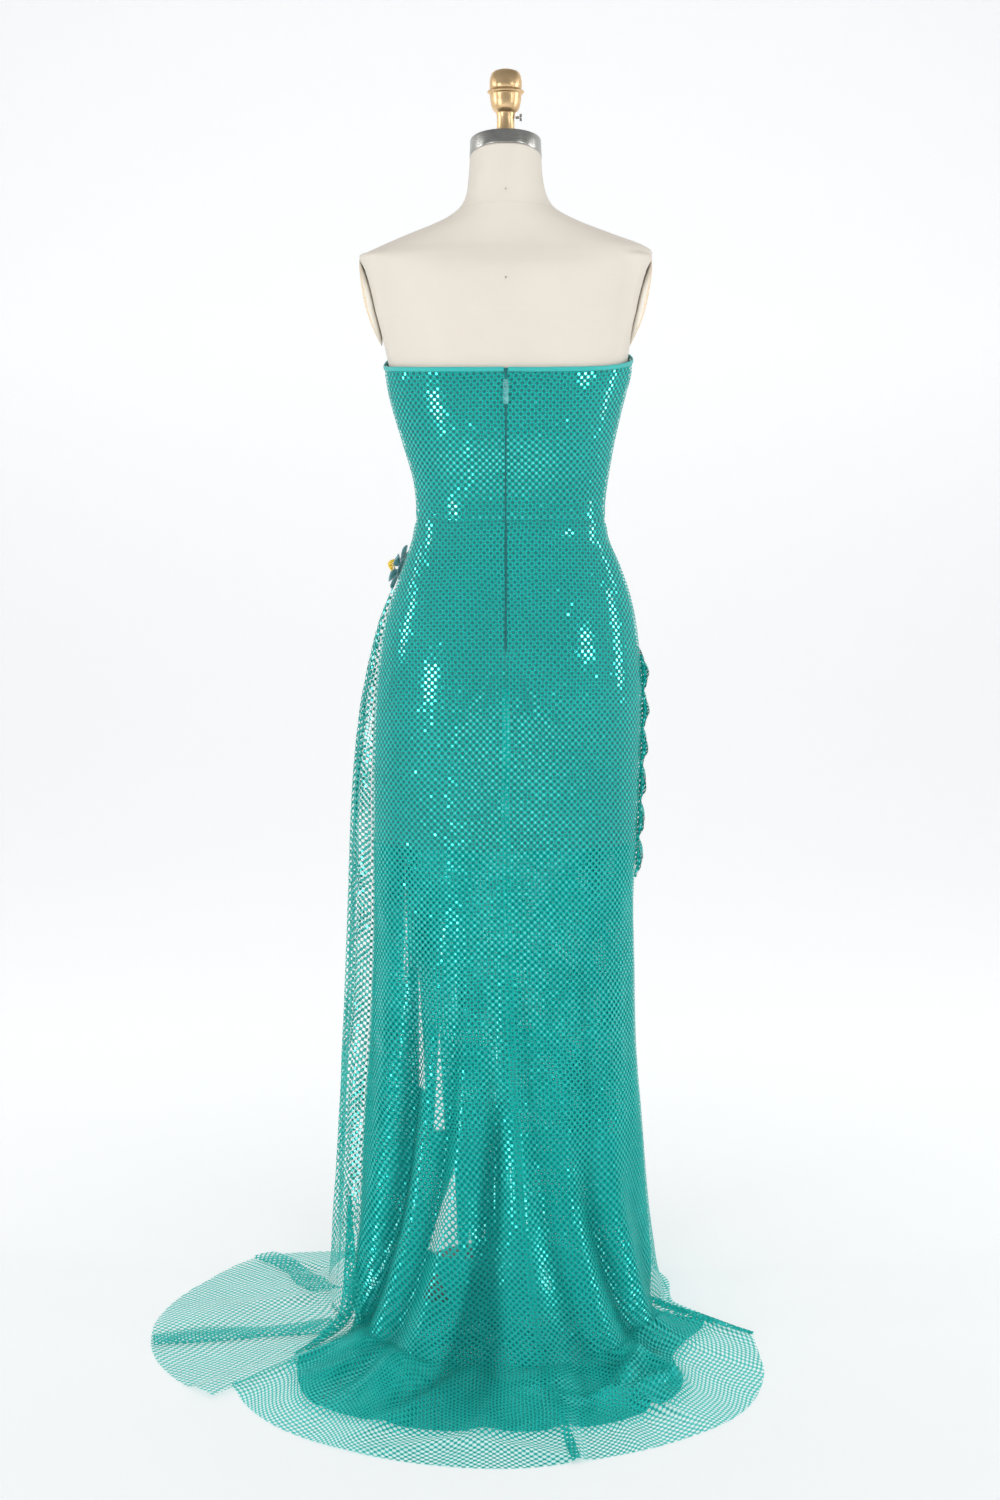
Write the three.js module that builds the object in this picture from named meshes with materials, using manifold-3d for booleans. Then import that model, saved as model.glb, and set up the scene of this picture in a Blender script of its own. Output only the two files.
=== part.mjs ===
// Strapless evening gown of mirror-dot net, with a short lining and a train, on a limbless dress form.
// Millimetres, +Z up. The gown's front faces -Y and the wearer's left side is +X.
// The origin is on the floor, under the middle of the stand.
import * as THREE from "three";
import { mergeVertices } from "three/addons/utils/BufferGeometryUtils.js";
import Module from "manifold-3d";

// Cloth walls and the gaps between them
const NET_THICK = 1.6;
const LINING_THICK = 1.3;
const LINING_DEPTH = 3.6; // from the net's outer face in to the lining's outer face
const FORM_DEPTH = 6.2; // from the net's outer face in to the dress form
const SEAM_GAP = 0.3;
const UNDER_DEPTH = 2.2; // from the net's outer face in to the underskirt's outer face

// Heights on the gown
const WAIST_Z = 1034;
const LINING_HEM_Z = 602;
const ZIP_END_Z = 868;
const BINDING_TALL = 6;

// Dress form and stand
const FORM_BOTTOM_Z = 772;
const POLE_RADIUS = 16;
const POLE_FOOT_Z = 24.3;
const BASE_RADIUS = 132;
const BASE_TALL = 24;
const NECK_CAP = {
  low: 1495.3,
  high: 1520,
  lowTilt: 0.3,
  highTilt: 0.15,
  radius: 45.6,
  flare: 0.8,
  bevel: 1.5,
};
const STEM_RADIUS = 12.2;

// Colours from the photograph, as hex
const COLOURS = {
  net: 0x2fa89f,
  lining: 0x1f8f88,
  zip: 0x0f5a5c,
  pull: 0x6fb9b6,
  petal: 0x4f8488,
  centre: 0xe2b92c,
  linen: 0xe8dfd0,
  plate: 0xd8c6a4,
  brass: 0xb98a4e,
  steel: 0x8c8d88,
  iron: 0x2b2b2d,
};

const DEG = Math.PI / 180;
const clamp = (v, low, high) => Math.min(high, Math.max(low, v));
const lerp = (a, b, t) => a + (b - a) * t;
const smooth = (t) => clamp(t, 0, 1) ** 2 * (3 - 2 * clamp(t, 0, 1));
const hump = (distance, width) => Math.exp(-((distance / width) ** 2));
const fullTurn = (degrees) => ((degrees % 360) + 360) % 360;
const list = (count, make) => Array.from({ length: count }, (_, i) => make(i));
const share = ([from, to], columns) => list(columns + 1, (j) => lerp(from, to, j / columns));
const around = (degrees, radius, z) =>
  new THREE.Vector3(radius * Math.cos(degrees * DEG), radius * Math.sin(degrees * DEG), z);

// Reads one column of a table, whose rows rise or fall along `by`, with a smooth curve through its rows.
function read(table, by, column, at) {
  const up = table[0][by] < table[table.length - 1][by] ? table : [...table].reverse();
  const last = up.length - 1;
  if (at <= up[0][by]) return up[0][column];
  if (at >= up[last][by]) return up[last][column];
  let i = 0;
  while (up[i + 1][by] < at) i++;
  const slope = (k) => {
    const a = up[Math.max(0, k - 1)];
    const b = up[Math.min(last, k + 1)];
    return (b[column] - a[column]) / (b[by] - a[by]);
  };
  const span = up[i + 1][by] - up[i][by];
  const t = (at - up[i][by]) / span;
  const rise = up[i + 1][column] - up[i][column];
  const bend = (1 - t) * (slope(i) * span - rise) + t * (rise - slope(i + 1) * span);
  return up[i][column] + rise * t + t * (1 - t) * bend;
}

// Half sizes of the gown's outer face at each height: to the left, right, front and back of the pole.
const FIGURE = [
  { z: 1330, left: 158, right: 160, front: 92, back: 97, power: 2.2 },
  { z: 1290, left: 158, right: 162, front: 110, back: 97, power: 2.2 },
  { z: 1228, left: 158, right: 165, front: 122, back: 93, power: 2.2 },
  { z: 1190, left: 152, right: 156, front: 118, back: 94, power: 2.2 },
  { z: 1138, left: 137, right: 144, front: 103, back: 90, power: 2.2 },
  { z: 1086, left: 122, right: 135, front: 90, back: 81, power: 2.15 },
  { z: 1050, left: 118, right: 131, front: 86, back: 77, power: 2.1 },
  { z: 1034, left: 119, right: 132, front: 86, back: 78, power: 2.1 },
  { z: 1008, left: 124, right: 137, front: 88, back: 82, power: 2.1 },
  { z: 976, left: 135, right: 151, front: 93, back: 90, power: 2.1 },
  { z: 940, left: 148, right: 164, front: 99, back: 100, power: 2.15 },
  { z: 900, left: 160, right: 173, front: 104, back: 109, power: 2.2 },
  { z: 860, left: 167, right: 178, front: 107, back: 116, power: 2.2 },
  { z: 820, left: 172, right: 181, front: 108, back: 118, power: 2.2 },
  { z: 780, left: 175, right: 181, front: 107, back: 117, power: 2.2 },
  { z: 730, left: 177, right: 180, front: 105, back: 115, power: 2.2 },
  { z: 670, left: 178, right: 178, front: 103, back: 114, power: 2.2 },
  { z: 600, left: 178, right: 175, front: 102, back: 114, power: 2.2 },
  { z: 530, left: 178, right: 172, front: 101, back: 116, power: 2.2 },
  { z: 446, left: 180, right: 174, front: 102, back: 119, power: 2.2 },
  { z: 336, left: 186, right: 177, front: 109, back: 129, power: 2.2 },
  { z: 225, left: 196, right: 186, front: 120, back: 150, power: 2.2 },
  { z: 140, left: 204, right: 193, front: 132, back: 182, power: 2.1 },
  { z: 95, left: 208, right: 198, front: 142, back: 212, power: 2.1 },
  { z: 58, left: 211, right: 203, front: 150, back: 246, power: 2.1 },
  { z: 30, left: 215, right: 207, front: 157, back: 282, power: 2.1 },
  { z: 12, left: 219, right: 211, front: 163, back: 314, power: 2.1 },
];
const BUST = { z: 1222, tall: 52, angle: 24, wide: 15, out: 15 };

// Soft folds of the skirt: angle round the pole at mid height and at the foot, and depth at the foot.
const FOLDS = [
  { mid: 22, foot: 31, top: 780, wide: 7, out: 7 },
  { mid: 38, foot: 43, top: 600, wide: 5.5, out: -17 },
  { mid: 50, foot: 52, top: 620, wide: 6, out: 8 },
  { mid: 60, foot: 59, top: 520, wide: 5, out: -12 },
  { mid: 71, foot: 67, top: 560, wide: 6, out: 13 },
  { mid: 82, foot: 84, top: 430, wide: 5.5, out: -15 },
  { mid: 94, foot: 98, top: 470, wide: 5.5, out: 9 },
  { mid: 106, foot: 110, top: 380, wide: 6, out: -7 },
  { mid: 117, foot: 118, top: 330, wide: 6, out: 10 },
  { mid: 129, foot: 128, top: 300, wide: 5.5, out: -13 },
  { mid: 143, foot: 137, top: 330, wide: 6, out: 10 },
  { mid: 158, foot: 152, top: 300, wide: 7, out: -6 },
  { mid: 203, foot: 205, top: 420, wide: 8, out: 8 },
  { mid: 222, foot: 224, top: 380, wide: 8, out: -8 },
  { mid: 243, foot: 244, top: 450, wide: 9, out: 9 },
  { mid: 264, foot: 266, top: 400, wide: 8, out: -8 },
  { mid: 283, foot: 286, top: 430, wide: 8, out: 9 },
];

// Heights of the skirt's rows. Below them the train's rows run out over the floor.
const HANG_ROWS = [
  1034, 1008, 976, 940, 900, 860, 820, 780, 730, 670, 602, 530, 460, 390, 320, 255, 195, 140, 95, 58, 30, 12,
].map((z) => ({ z, out: 0 }));
const FLOOR_ROWS = [0.2, 0.45, 0.72, 0.8, 1].map((out) => ({ z: 0, out }));
const SKIRT_ROWS = [...HANG_ROWS, ...FLOOR_ROWS];

// Distance from the pole to the net's hem on the floor, round the gown
const HEM = [
  { angle: 132, radius: 463 },
  { angle: 149, radius: 360 },
  { angle: 155, radius: 283 },
  { angle: 161, radius: 236 },
  { angle: 180, radius: 222 },
  { angle: 205, radius: 200 },
  { angle: 240, radius: 182 },
  { angle: 270, radius: 174 },
  { angle: 300, radius: 184 },
];
const TRAIN_HEM = [
  { angle: 44, radius: 468 },
  { angle: 46, radius: 476 },
  { angle: 54, radius: 511 },
  { angle: 62, radius: 536 },
  { angle: 76, radius: 559 },
  { angle: 90, radius: 567 },
  { angle: 103, radius: 549 },
  { angle: 112, radius: 533 },
  { angle: 123, radius: 505 },
  { angle: 135, radius: 445 },
  { angle: 141, radius: 407 },
  { angle: 150, radius: 359 },
];
const UNDER_HEM = [
  { angle: 46, radius: 370 },
  { angle: 54, radius: 425 },
  { angle: 61, radius: 462 },
  { angle: 73, radius: 476 },
  { angle: 88, radius: 477 },
  { angle: 102, radius: 472 },
  { angle: 112, radius: 450 },
  { angle: 121, radius: 412 },
  { angle: 129, radius: 332 },
  { angle: 150, radius: 300 },
];
const DRAPE_HEM = [
  { angle: -24, radius: 268 },
  { angle: -17, radius: 334 },
  { angle: -11, radius: 364 },
  { angle: 2, radius: 413 },
  { angle: 10, radius: 446 },
  { angle: 22, radius: 488 },
  { angle: 30, radius: 508 },
  { angle: 37, radius: 517 },
  { angle: 43, radius: 520 },
];

// Where the long seams and free edges run, as angles round the pole. `step` is a row's number in SKIRT_ROWS.
const SEAMS = [
  { step: 0, left: 0, back: 90, right: 180, slit: 360 },
  { step: 3, left: 0, back: 90, right: 180, slit: 357 },
  { step: 5, left: 0, back: 90, right: 180, slit: 352 },
  { step: 8, left: 0, back: 90, right: 180, slit: 338 },
  { step: 10, left: 1, back: 90.5, right: 180, slit: 326 },
  { step: 13, left: 4, back: 93, right: 180, slit: 312 },
  { step: 16, left: 13, back: 97, right: 177, slit: 302 },
  { step: 19, left: 27, back: 98, right: 163, slit: 296 },
  { step: 21, left: 37, back: 98, right: 149, slit: 294 },
  { step: 22, left: 43, back: 98, right: 149, slit: 294 },
  { step: 23, left: 45, back: 98, right: 149, slit: 293 },
  { step: 26, left: 46, back: 98, right: 149, slit: 293 },
];
const seamAt = (name, step) => read(SEAMS, "step", name, step);

// The gown's outer radius at an angle and height, without the skirt's folds
function figureRadius(degrees, z) {
  const a = degrees * DEG;
  const across = read(FIGURE, "z", Math.cos(a) > 0 ? "left" : "right", z);
  const deep = read(FIGURE, "z", Math.sin(a) > 0 ? "back" : "front", z);
  const power = read(FIGURE, "z", "power", z);
  const sum = (Math.abs(Math.cos(a)) / across) ** power + (Math.abs(Math.sin(a)) / deep) ** power;
  let bust = 0;
  for (const side of [-1, 1]) bust += hump(fullTurn(degrees) - 270 - side * BUST.angle, BUST.wide);
  return sum ** (-1 / power) + BUST.out * bust * hump(z - BUST.z, BUST.tall);
}

// How far the folds move the skirt in or out at an angle and height
function foldsAt(degrees, z) {
  let out = 0;
  for (const fold of FOLDS) {
    const fall = clamp((fold.top - z) / fold.top, 0, 1);
    const at = lerp(fold.mid, fold.foot, fall);
    out += fold.out * smooth(fall * 1.25) * hump(degrees - at, fold.wide);
  }
  return out;
}

// The wall leans over from upright as it nears the floor, so that its thickness stays even.
const FLOOR_START_Z = 12;
const LEAN = { most: 72, from: 110, over: 105 };
const leanAt = (z) => LEAN.most * smooth((LEAN.from - z) / LEAN.over);

// A point of a skirt layer, `depth` in from the net's outer face. `spread` gives its reach over the floor.
function skirtPoint(degrees, row, depth, spread, floorZ) {
  const z = row.out > 0 ? FLOOR_START_Z : row.z;
  const lean = leanAt(z) * DEG;
  const folded = figureRadius(degrees, z) + foldsAt(degrees, z);
  const radius = row.out > 0 ? spread(degrees, row.out, folded) : folded - depth * Math.cos(lean);
  const level = row.out > 0 ? floorZ : Math.max(z - depth * Math.sin(lean), floorZ);
  return around(degrees, radius, level);
}

// Reach over the floor at a share `out` of the way, for a plain hem and for the train over the underskirt
const HEM_LEAST = 3;
const plainSpread = (degrees, out, start) =>
  lerp(start, Math.max(read(HEM, "angle", "radius", degrees), start + HEM_LEAST), out);
const OVER_EDGE = { at: 0.72, past: 4, down: 0.8, landed: 22 };
function trainSpread(degrees, out, start) {
  const under = read(UNDER_HEM, "angle", "radius", degrees);
  const { at, past, down, landed } = OVER_EDGE;
  if (out <= at) return lerp(start, under + past, out / at);
  return lerp(under + landed, read(TRAIN_HEM, "angle", "radius", degrees), (out - down) / (1 - down));
}

// A solid of revolution round Z from rows of [radius, z]
const turned = (rows, parts) =>
  new THREE.LatheGeometry(
    rows.map(([r, z]) => new THREE.Vector2(r, z)),
    parts,
  ).rotateX(Math.PI / 2);

// A round bar along X
const crossBar = (radius, long, parts) =>
  new THREE.CylinderGeometry(radius, radius, long, parts).rotateZ(Math.PI / 2);

// Closes two facing grids of points, outer and inner, into one wall.
function wall(outer, inner) {
  const rows = outer.length;
  const columns = outer[0].length;
  const count = rows * columns;
  const positions = [outer, inner].flat(2).flatMap((p) => [p.x, p.y, p.z]);
  const faces = [];
  const quad = (a, b, c, d) => faces.push(a, b, c, a, c, d);
  const at = (i, j) => i * columns + j;
  for (let i = 0; i + 1 < rows; i++)
    for (let j = 0; j + 1 < columns; j++) {
      quad(at(i, j), at(i, j + 1), at(i + 1, j + 1), at(i + 1, j));
      quad(count + at(i, j), count + at(i + 1, j), count + at(i + 1, j + 1), count + at(i, j + 1));
    }
  for (let j = 0; j + 1 < columns; j++) {
    quad(at(0, j + 1), at(0, j), count + at(0, j), count + at(0, j + 1));
    quad(at(rows - 1, j), at(rows - 1, j + 1), count + at(rows - 1, j + 1), count + at(rows - 1, j));
  }
  const last = columns - 1;
  for (let i = 0; i + 1 < rows; i++) {
    quad(at(i, 0), at(i + 1, 0), count + at(i + 1, 0), count + at(i, 0));
    quad(at(i + 1, last), at(i, last), count + at(i, last), count + at(i + 1, last));
  }
  return facingOut(positions, faces);
}

// A geometry whose faces point out of the solid, whichever way round its grid ran
function facingOut(positions, faces) {
  const corner = (k) => new THREE.Vector3().fromArray(positions, faces[k] * 3);
  let volume = 0;
  for (let k = 0; k < faces.length; k += 3) volume += corner(k).dot(corner(k + 1).cross(corner(k + 2)));
  if (volume < 0) faces.reverse();
  const geometry = new THREE.BufferGeometry();
  geometry.setAttribute("position", new THREE.Float32BufferAttribute(positions, 3));
  geometry.setIndex(faces);
  return geometry;
}

// Closes rings of points, stacked from the bottom up, into one solid with flat ends.
function lofted(rings) {
  const count = rings[0].length;
  const positions = rings.flat().flatMap((p) => [p.x, p.y, p.z]);
  const faces = [];
  for (let i = 0; i + 1 < rings.length; i++)
    for (let j = 0; j < count; j++) {
      const k = (j + 1) % count;
      faces.push(i * count + j, i * count + k, (i + 1) * count + j);
      faces.push(i * count + k, (i + 1) * count + k, (i + 1) * count + j);
    }
  for (const [ring, sign] of [
    [0, -1],
    [rings.length - 1, 1],
  ]) {
    const middle = new THREE.Vector3();
    for (const p of rings[ring]) middle.addScaledVector(p, 1 / count);
    const centre = positions.length / 3;
    positions.push(middle.x, middle.y, middle.z);
    for (let j = 0; j < count; j++) {
      const pair = [ring * count + j, ring * count + ((j + 1) % count)];
      if (sign < 0) pair.reverse();
      faces.push(centre, ...pair);
    }
  }
  return facingOut(positions, faces);
}

const gown = new THREE.Group();
const finish = (color, roughness, metalness) =>
  new THREE.MeshStandardMaterial({ color, roughness, metalness });
const netFinish = finish(COLOURS.net, 0.35, 0.2);
const liningFinish = finish(COLOURS.lining, 0.5, 0);
const bindingFinish = finish(COLOURS.lining, 0.6, 0);
const zipFinish = finish(COLOURS.zip, 0.5, 0.1);
const pullFinish = finish(COLOURS.pull, 0.3, 0.4);
const linenFinish = finish(COLOURS.linen, 0.9, 0);
const plateFinish = finish(COLOURS.plate, 0.7, 0);
const steelFinish = finish(COLOURS.steel, 0.35, 1);
const brassFinish = finish(COLOURS.brass, 0.35, 1);
const ironFinish = finish(COLOURS.iron, 0.6, 0.6);
const petalFinish = finish(COLOURS.petal, 0.5, 0);
const centreFinish = finish(COLOURS.centre, 0.4, 0.3);

function add(name, geometry, material, parent = gown) {
  const mesh = new THREE.Mesh(geometry, material);
  mesh.name = name;
  parent.add(mesh);
  return mesh;
}

// Angles from one to another in `columns` equal parts, pulled in at each end by a gap in millimetres
const anglesBetween = (from, to, columns, radius, gapFrom, gapTo) =>
  share([from + gapFrom / radius / DEG, to - gapTo / radius / DEG], columns);

// The bodice's top edge: level behind, higher at the sides, and two soft peaks over the cups
const TOP_EDGE = [
  { angle: -90, left: 1272, right: 1272 },
  { angle: -66, left: 1290, right: 1290 },
  { angle: -35, left: 1264, right: 1270 },
  { angle: 0, left: 1235, right: 1244 },
  { angle: 25, left: 1228, right: 1230 },
  { angle: 60, left: 1226, right: 1226 },
  { angle: 90, left: 1226, right: 1226 },
];
function topEdge(degrees) {
  const turn = fullTurn(degrees);
  if (turn > 90 && turn < 270) return read(TOP_EDGE, "angle", "right", 180 - turn);
  return read(TOP_EDGE, "angle", "left", turn >= 270 ? turn - 360 : turn);
}

// Steps up the bodice, from the waist to the top edge. Lining, net and form share them.
const BODICE_STEPS = [0, 0.2, 0.42, 0.62, 0.82, 1];
const bodiceZ = (degrees, step, low = WAIST_Z) => lerp(low, topEdge(degrees), step);

// A wall on the figure, between two angles, with its rows' heights given by `levels(degrees)`
function figureWall(angles, levels, depth, thick) {
  const grid = (inward) =>
    levels(0).map((_, i) =>
      angles.map((degrees) => {
        const z = levels(degrees)[i];
        return around(degrees, figureRadius(degrees, z) - inward, z);
      }),
    );
  return wall(grid(depth), grid(depth + thick));
}

// Lining: two backs and a front, from the top edge to the thigh. It does without two of the skirt's rows.
const LINING_SKIPS = [976, 820];
const inLining = (z) => z < WAIST_Z && z >= LINING_HEM_Z && !LINING_SKIPS.includes(z);
const LINING_HANG = HANG_ROWS.map((row) => row.z).filter(inLining);
const liningLevels = (degrees) => [
  ...BODICE_STEPS.map((step) => bodiceZ(degrees, step)).reverse(),
  ...LINING_HANG,
];
const HALF_GAP = SEAM_GAP / 2;
const COARSE = { quarter: 6, half: 12 };
const GAP_RADIUS = { lining: 110, bodice: 90 };
function addLining() {
  const parts = [
    { name: "lining_back_left", from: 0, to: 90, columns: COARSE.quarter },
    { name: "lining_back_right", from: 90, to: 180, columns: COARSE.quarter },
    { name: "lining_front", from: 180, to: 360, columns: COARSE.half },
  ];
  for (const { name, from, to, columns } of parts) {
    const angles = anglesBetween(from, to, columns, GAP_RADIUS.lining, HALF_GAP, HALF_GAP);
    add(name, figureWall(angles, liningLevels, LINING_DEPTH, LINING_THICK), liningFinish);
  }
}

// Net bodice: two backs that meet at the zip, and a front, under a narrow bound edge that stands proud of it
const ZIP_SLOT = 1.6;
const BINDING = { proud: 0.6, thick: 2.5 };
function addBodice() {
  const parts = [
    { name: "back_left", from: 0, to: 90, columns: COARSE.quarter, gapFrom: HALF_GAP, gapTo: ZIP_SLOT },
    { name: "back_right", from: 90, to: 180, columns: COARSE.quarter, gapFrom: ZIP_SLOT, gapTo: HALF_GAP },
    { name: "front", from: 180, to: 360, columns: COARSE.half, gapFrom: HALF_GAP, gapTo: HALF_GAP },
  ];
  const netLevels = (degrees) => {
    const top = topEdge(degrees) - BINDING_TALL - SEAM_GAP;
    const bottom = WAIST_Z + HALF_GAP;
    return BODICE_STEPS.map((step) => clamp(bodiceZ(degrees, step), bottom, top)).reverse();
  };
  const bindingLevels = (degrees) => [topEdge(degrees), topEdge(degrees) - BINDING_TALL];
  for (const { name, from, to, columns, gapFrom, gapTo } of parts) {
    const angles = anglesBetween(from, to, columns, GAP_RADIUS.bodice, gapFrom, gapTo);
    add("bodice_" + name, figureWall(angles, netLevels, 0, NET_THICK), netFinish);
    const binding = figureWall(angles, bindingLevels, -BINDING.proud, BINDING.thick);
    add("top_binding_" + name, binding, bindingFinish);
  }
}

// Net skirt: two backs with the train, a front that wraps to the slit, and the drape at the left hip
function skirtPanel(rows, columns, edges, pick) {
  const grid = (side) =>
    rows.map(({ row, step }) => share(edges(step), columns).map((degrees) => pick(degrees, row, step, side)));
  return wall(grid("outer"), grid("inner"));
}
const numbered = SKIRT_ROWS.map((row, step) => ({ row, step }));
const FINE = { back: 12, front: 17 };
const gapDegrees = (millimetres, row, degrees) => millimetres / figureRadius(degrees, row.z) / DEG;
const waistRow = (row, step) => (step === 0 ? { ...row, z: WAIST_Z - HALF_GAP } : row);
function frontPoint(degrees, row, step, side) {
  const depth = side === "outer" ? 0 : NET_THICK;
  return skirtPoint(degrees, waistRow(row, step), depth, plainSpread, NET_THICK - depth);
}
// The train lies on the underskirt as far as its edge, then on the floor itself.
function trainPoint(degrees, row, step, side) {
  const depth = side === "outer" ? 0 : NET_THICK;
  const lying = row.out <= OVER_EDGE.at ? NET_THICK + UNDER_DEPTH : NET_THICK;
  return skirtPoint(degrees, waistRow(row, step), depth, trainSpread, lying - depth);
}

const zipStep = HANG_ROWS.findIndex((row) => row.z < ZIP_END_Z) + 1;
// The angle of a seam's edge, `side` of it, a gap away from the seam line
function edgeAt(name, step, side, gap = HALF_GAP) {
  const row = SKIRT_ROWS[Math.min(step, HANG_ROWS.length - 1)];
  const at = seamAt(name, step);
  return at + side * gapDegrees(gap, row, at);
}
const backEdge = (step, side) => edgeAt("back", step, side, step < zipStep ? ZIP_SLOT : HALF_GAP);
const leftBack = (step) => [edgeAt("left", step, 1), backEdge(step, -1)];
const rightBack = (step) => [backEdge(step, 1), edgeAt("right", step, -1)];
function addSkirtBacks() {
  add("skirt_back_left", skirtPanel(numbered, FINE.back, leftBack, trainPoint), netFinish);
  add("skirt_back_right", skirtPanel(numbered, FINE.back, rightBack, trainPoint), netFinish);
}

function addSkirtFront() {
  const edges = (step) => [edgeAt("right", step, 1), edgeAt("slit", step, -1)];
  add("skirt_front", skirtPanel(numbered, FINE.front, edges, frontPoint), netFinish);
}

// Underskirt: a net layer sewn to the lining's hem behind, with a shorter train. Its columns are the net's.
function underSpread(degrees, out, start) {
  const under = read(UNDER_HEM, "angle", "radius", degrees);
  return lerp(start, under, Math.min(out / OVER_EDGE.at, 1));
}
function addUnderskirt() {
  const rows = numbered.filter(({ row }) => row.z <= LINING_HEM_Z && row.out <= OVER_EDGE.at);
  const grid = (side) =>
    rows.map(({ row, step }) => {
      const depth = side === "outer" ? UNDER_DEPTH : UNDER_DEPTH + LINING_THICK;
      const floorZ = side === "outer" ? LINING_THICK : 0;
      const z = row.z === LINING_HEM_Z ? LINING_HEM_Z - SEAM_GAP : row.z;
      const angles = [...share(leftBack(step), FINE.back), ...share(rightBack(step), FINE.back)];
      return angles.map((degrees) => skirtPoint(degrees, { ...row, z }, depth, underSpread, floorZ));
    });
  add("underskirt", wall(grid("outer"), grid("inner")), netFinish);
}

// Side drape: gathered under the ornament, it stands off the left side and fans out on the floor.
const DRAPE_ROWS = [
  { z: 944, from: -15, to: -5, out: 0, off: 4, waves: 1 },
  { z: 915, from: -18, to: -3.5, out: 0, off: 7, waves: 2 },
  { z: 880, from: -22, to: -2, out: 0, off: 10, waves: 3 },
  { z: 840, from: -25, to: -0.6, out: 0, off: 14, waves: 4 },
  { z: 790, from: -27, to: -0.3, out: 0, off: 20, waves: 5 },
  { z: 730, from: -29, to: 0, out: 0, off: 26, waves: 6 },
  { z: 670, from: -31, to: 0, out: 0, off: 31, waves: 6 },
  { z: 600, from: -32, to: 0, out: 0, off: 35, waves: 7 },
  { z: 530, from: -33, to: 1.5, out: 0, off: 37, waves: 7 },
  { z: 460, from: -34, to: 3, out: 0, off: 38, waves: 7 },
  { z: 390, from: -35, to: 4, out: 0, off: 37, waves: 8 },
  { z: 320, from: -35, to: 7, out: 0, off: 35, waves: 8 },
  { z: 255, from: -35, to: 10, out: 0, off: 30, waves: 8 },
  { z: 195, from: -35, to: 14, out: 0, off: 25, waves: 8 },
  { z: 140, from: -34, to: 19, out: 0, off: 21, waves: 7 },
  { z: 95, from: -33, to: 24, out: 0, off: 19, waves: 6 },
  { z: 58, from: -32, to: 28.5, out: 0, off: 18, waves: 5 },
  { z: 30, from: -31, to: 33, out: 0, off: 18, waves: 3 },
  { z: 12, from: -30, to: 36.4, out: 0, off: 18, waves: 1 },
  { z: 0, from: -29, to: 42.4, out: 0.18, off: 0, waves: 0 },
  { z: 0, from: -27, to: 44.5, out: 0.45, off: 0, waves: 0 },
  { z: 0, from: -25, to: 45.2, out: 0.75, off: 0, waves: 0 },
  { z: 0, from: -24, to: 45.6, out: 1, off: 0, waves: 0 },
];
const DRAPE = { columns: 16, clear: 0.9, ripples: 2.5, foot: 22, ridge: 8, ridges: 2.5, settle: 0.6 };
function drapePoint(degrees, row, across, side) {
  const depth = side === "outer" ? 0 : NET_THICK;
  const z = row.out > 0 ? FLOOR_START_Z : row.z;
  const lean = leanAt(z) * DEG;
  const arch = Math.sin(Math.PI * across);
  const standOff = DRAPE.clear + NET_THICK + row.off * Math.sin(Math.PI * (1 - (1 - across) ** 1.5)) ** 0.8;
  const ripple = row.waves * Math.sin(2 * Math.PI * DRAPE.ripples * across) * arch;
  const hanging = figureRadius(degrees, z) + Math.max(foldsAt(degrees, z), 0) + standOff + ripple;
  if (row.out === 0) {
    const radius = hanging - depth * Math.cos(lean);
    return around(degrees, radius, Math.max(z - depth * Math.sin(lean), NET_THICK - depth));
  }
  const foot = figureRadius(degrees, z) + DRAPE.clear + DRAPE.foot * arch + NET_THICK;
  const radius = lerp(foot, read(DRAPE_HEM, "angle", "radius", degrees), row.out);
  const ridge = DRAPE.ridge * Math.sin(Math.PI * DRAPE.ridges * across) ** 8 * arch ** 0.5;
  return around(degrees, radius, NET_THICK - depth + ridge * (1 - row.out * DRAPE.settle));
}
function addDrape() {
  const grid = (side) =>
    DRAPE_ROWS.map((row) =>
      share([0, 1], DRAPE.columns).map((across) =>
        drapePoint(lerp(row.from, row.to, across), row, across, side),
      ),
    );
  add("side_drape", wall(grid("outer"), grid("inner")), netFinish);
}

// Swag: pleated net from the ornament across the front to the right seam, where its edge ruffles
const SWAG = { columns: 15, rows: 24, pleats: 6, clear: 3.2, from: 344, to: 177 };
const SWAG_EDGES = [
  { along: 0, top: 990, bottom: 952, pleat: 2.5 },
  { along: 0.25, top: 972, bottom: 836, pleat: 4.5 },
  { along: 0.5, top: 938, bottom: 728, pleat: 6 },
  { along: 0.75, top: 896, bottom: 634, pleat: 6 },
  { along: 1, top: 857, bottom: 560, pleat: 6.5 },
];
function addSwag() {
  const point = (along, across, depth) => {
    const degrees = lerp(SWAG.from, SWAG.to, along);
    const edge = (name) => read(SWAG_EDGES, "along", name, along);
    const z = lerp(edge("top"), edge("bottom"), across);
    const rise = (1 - Math.cos(2 * Math.PI * SWAG.pleats * across)) / 2;
    const off = SWAG.clear + edge("pleat") * rise - depth;
    return around(degrees, figureRadius(degrees, z) + off, z);
  };
  const grid = (depth) =>
    share([0, 1], SWAG.columns).map((along) =>
      share([0, 1], SWAG.rows).map((across) => point(along, across, depth)),
    );
  add("front_swag", wall(grid(0), grid(NET_THICK)), netFinish);
}

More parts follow.
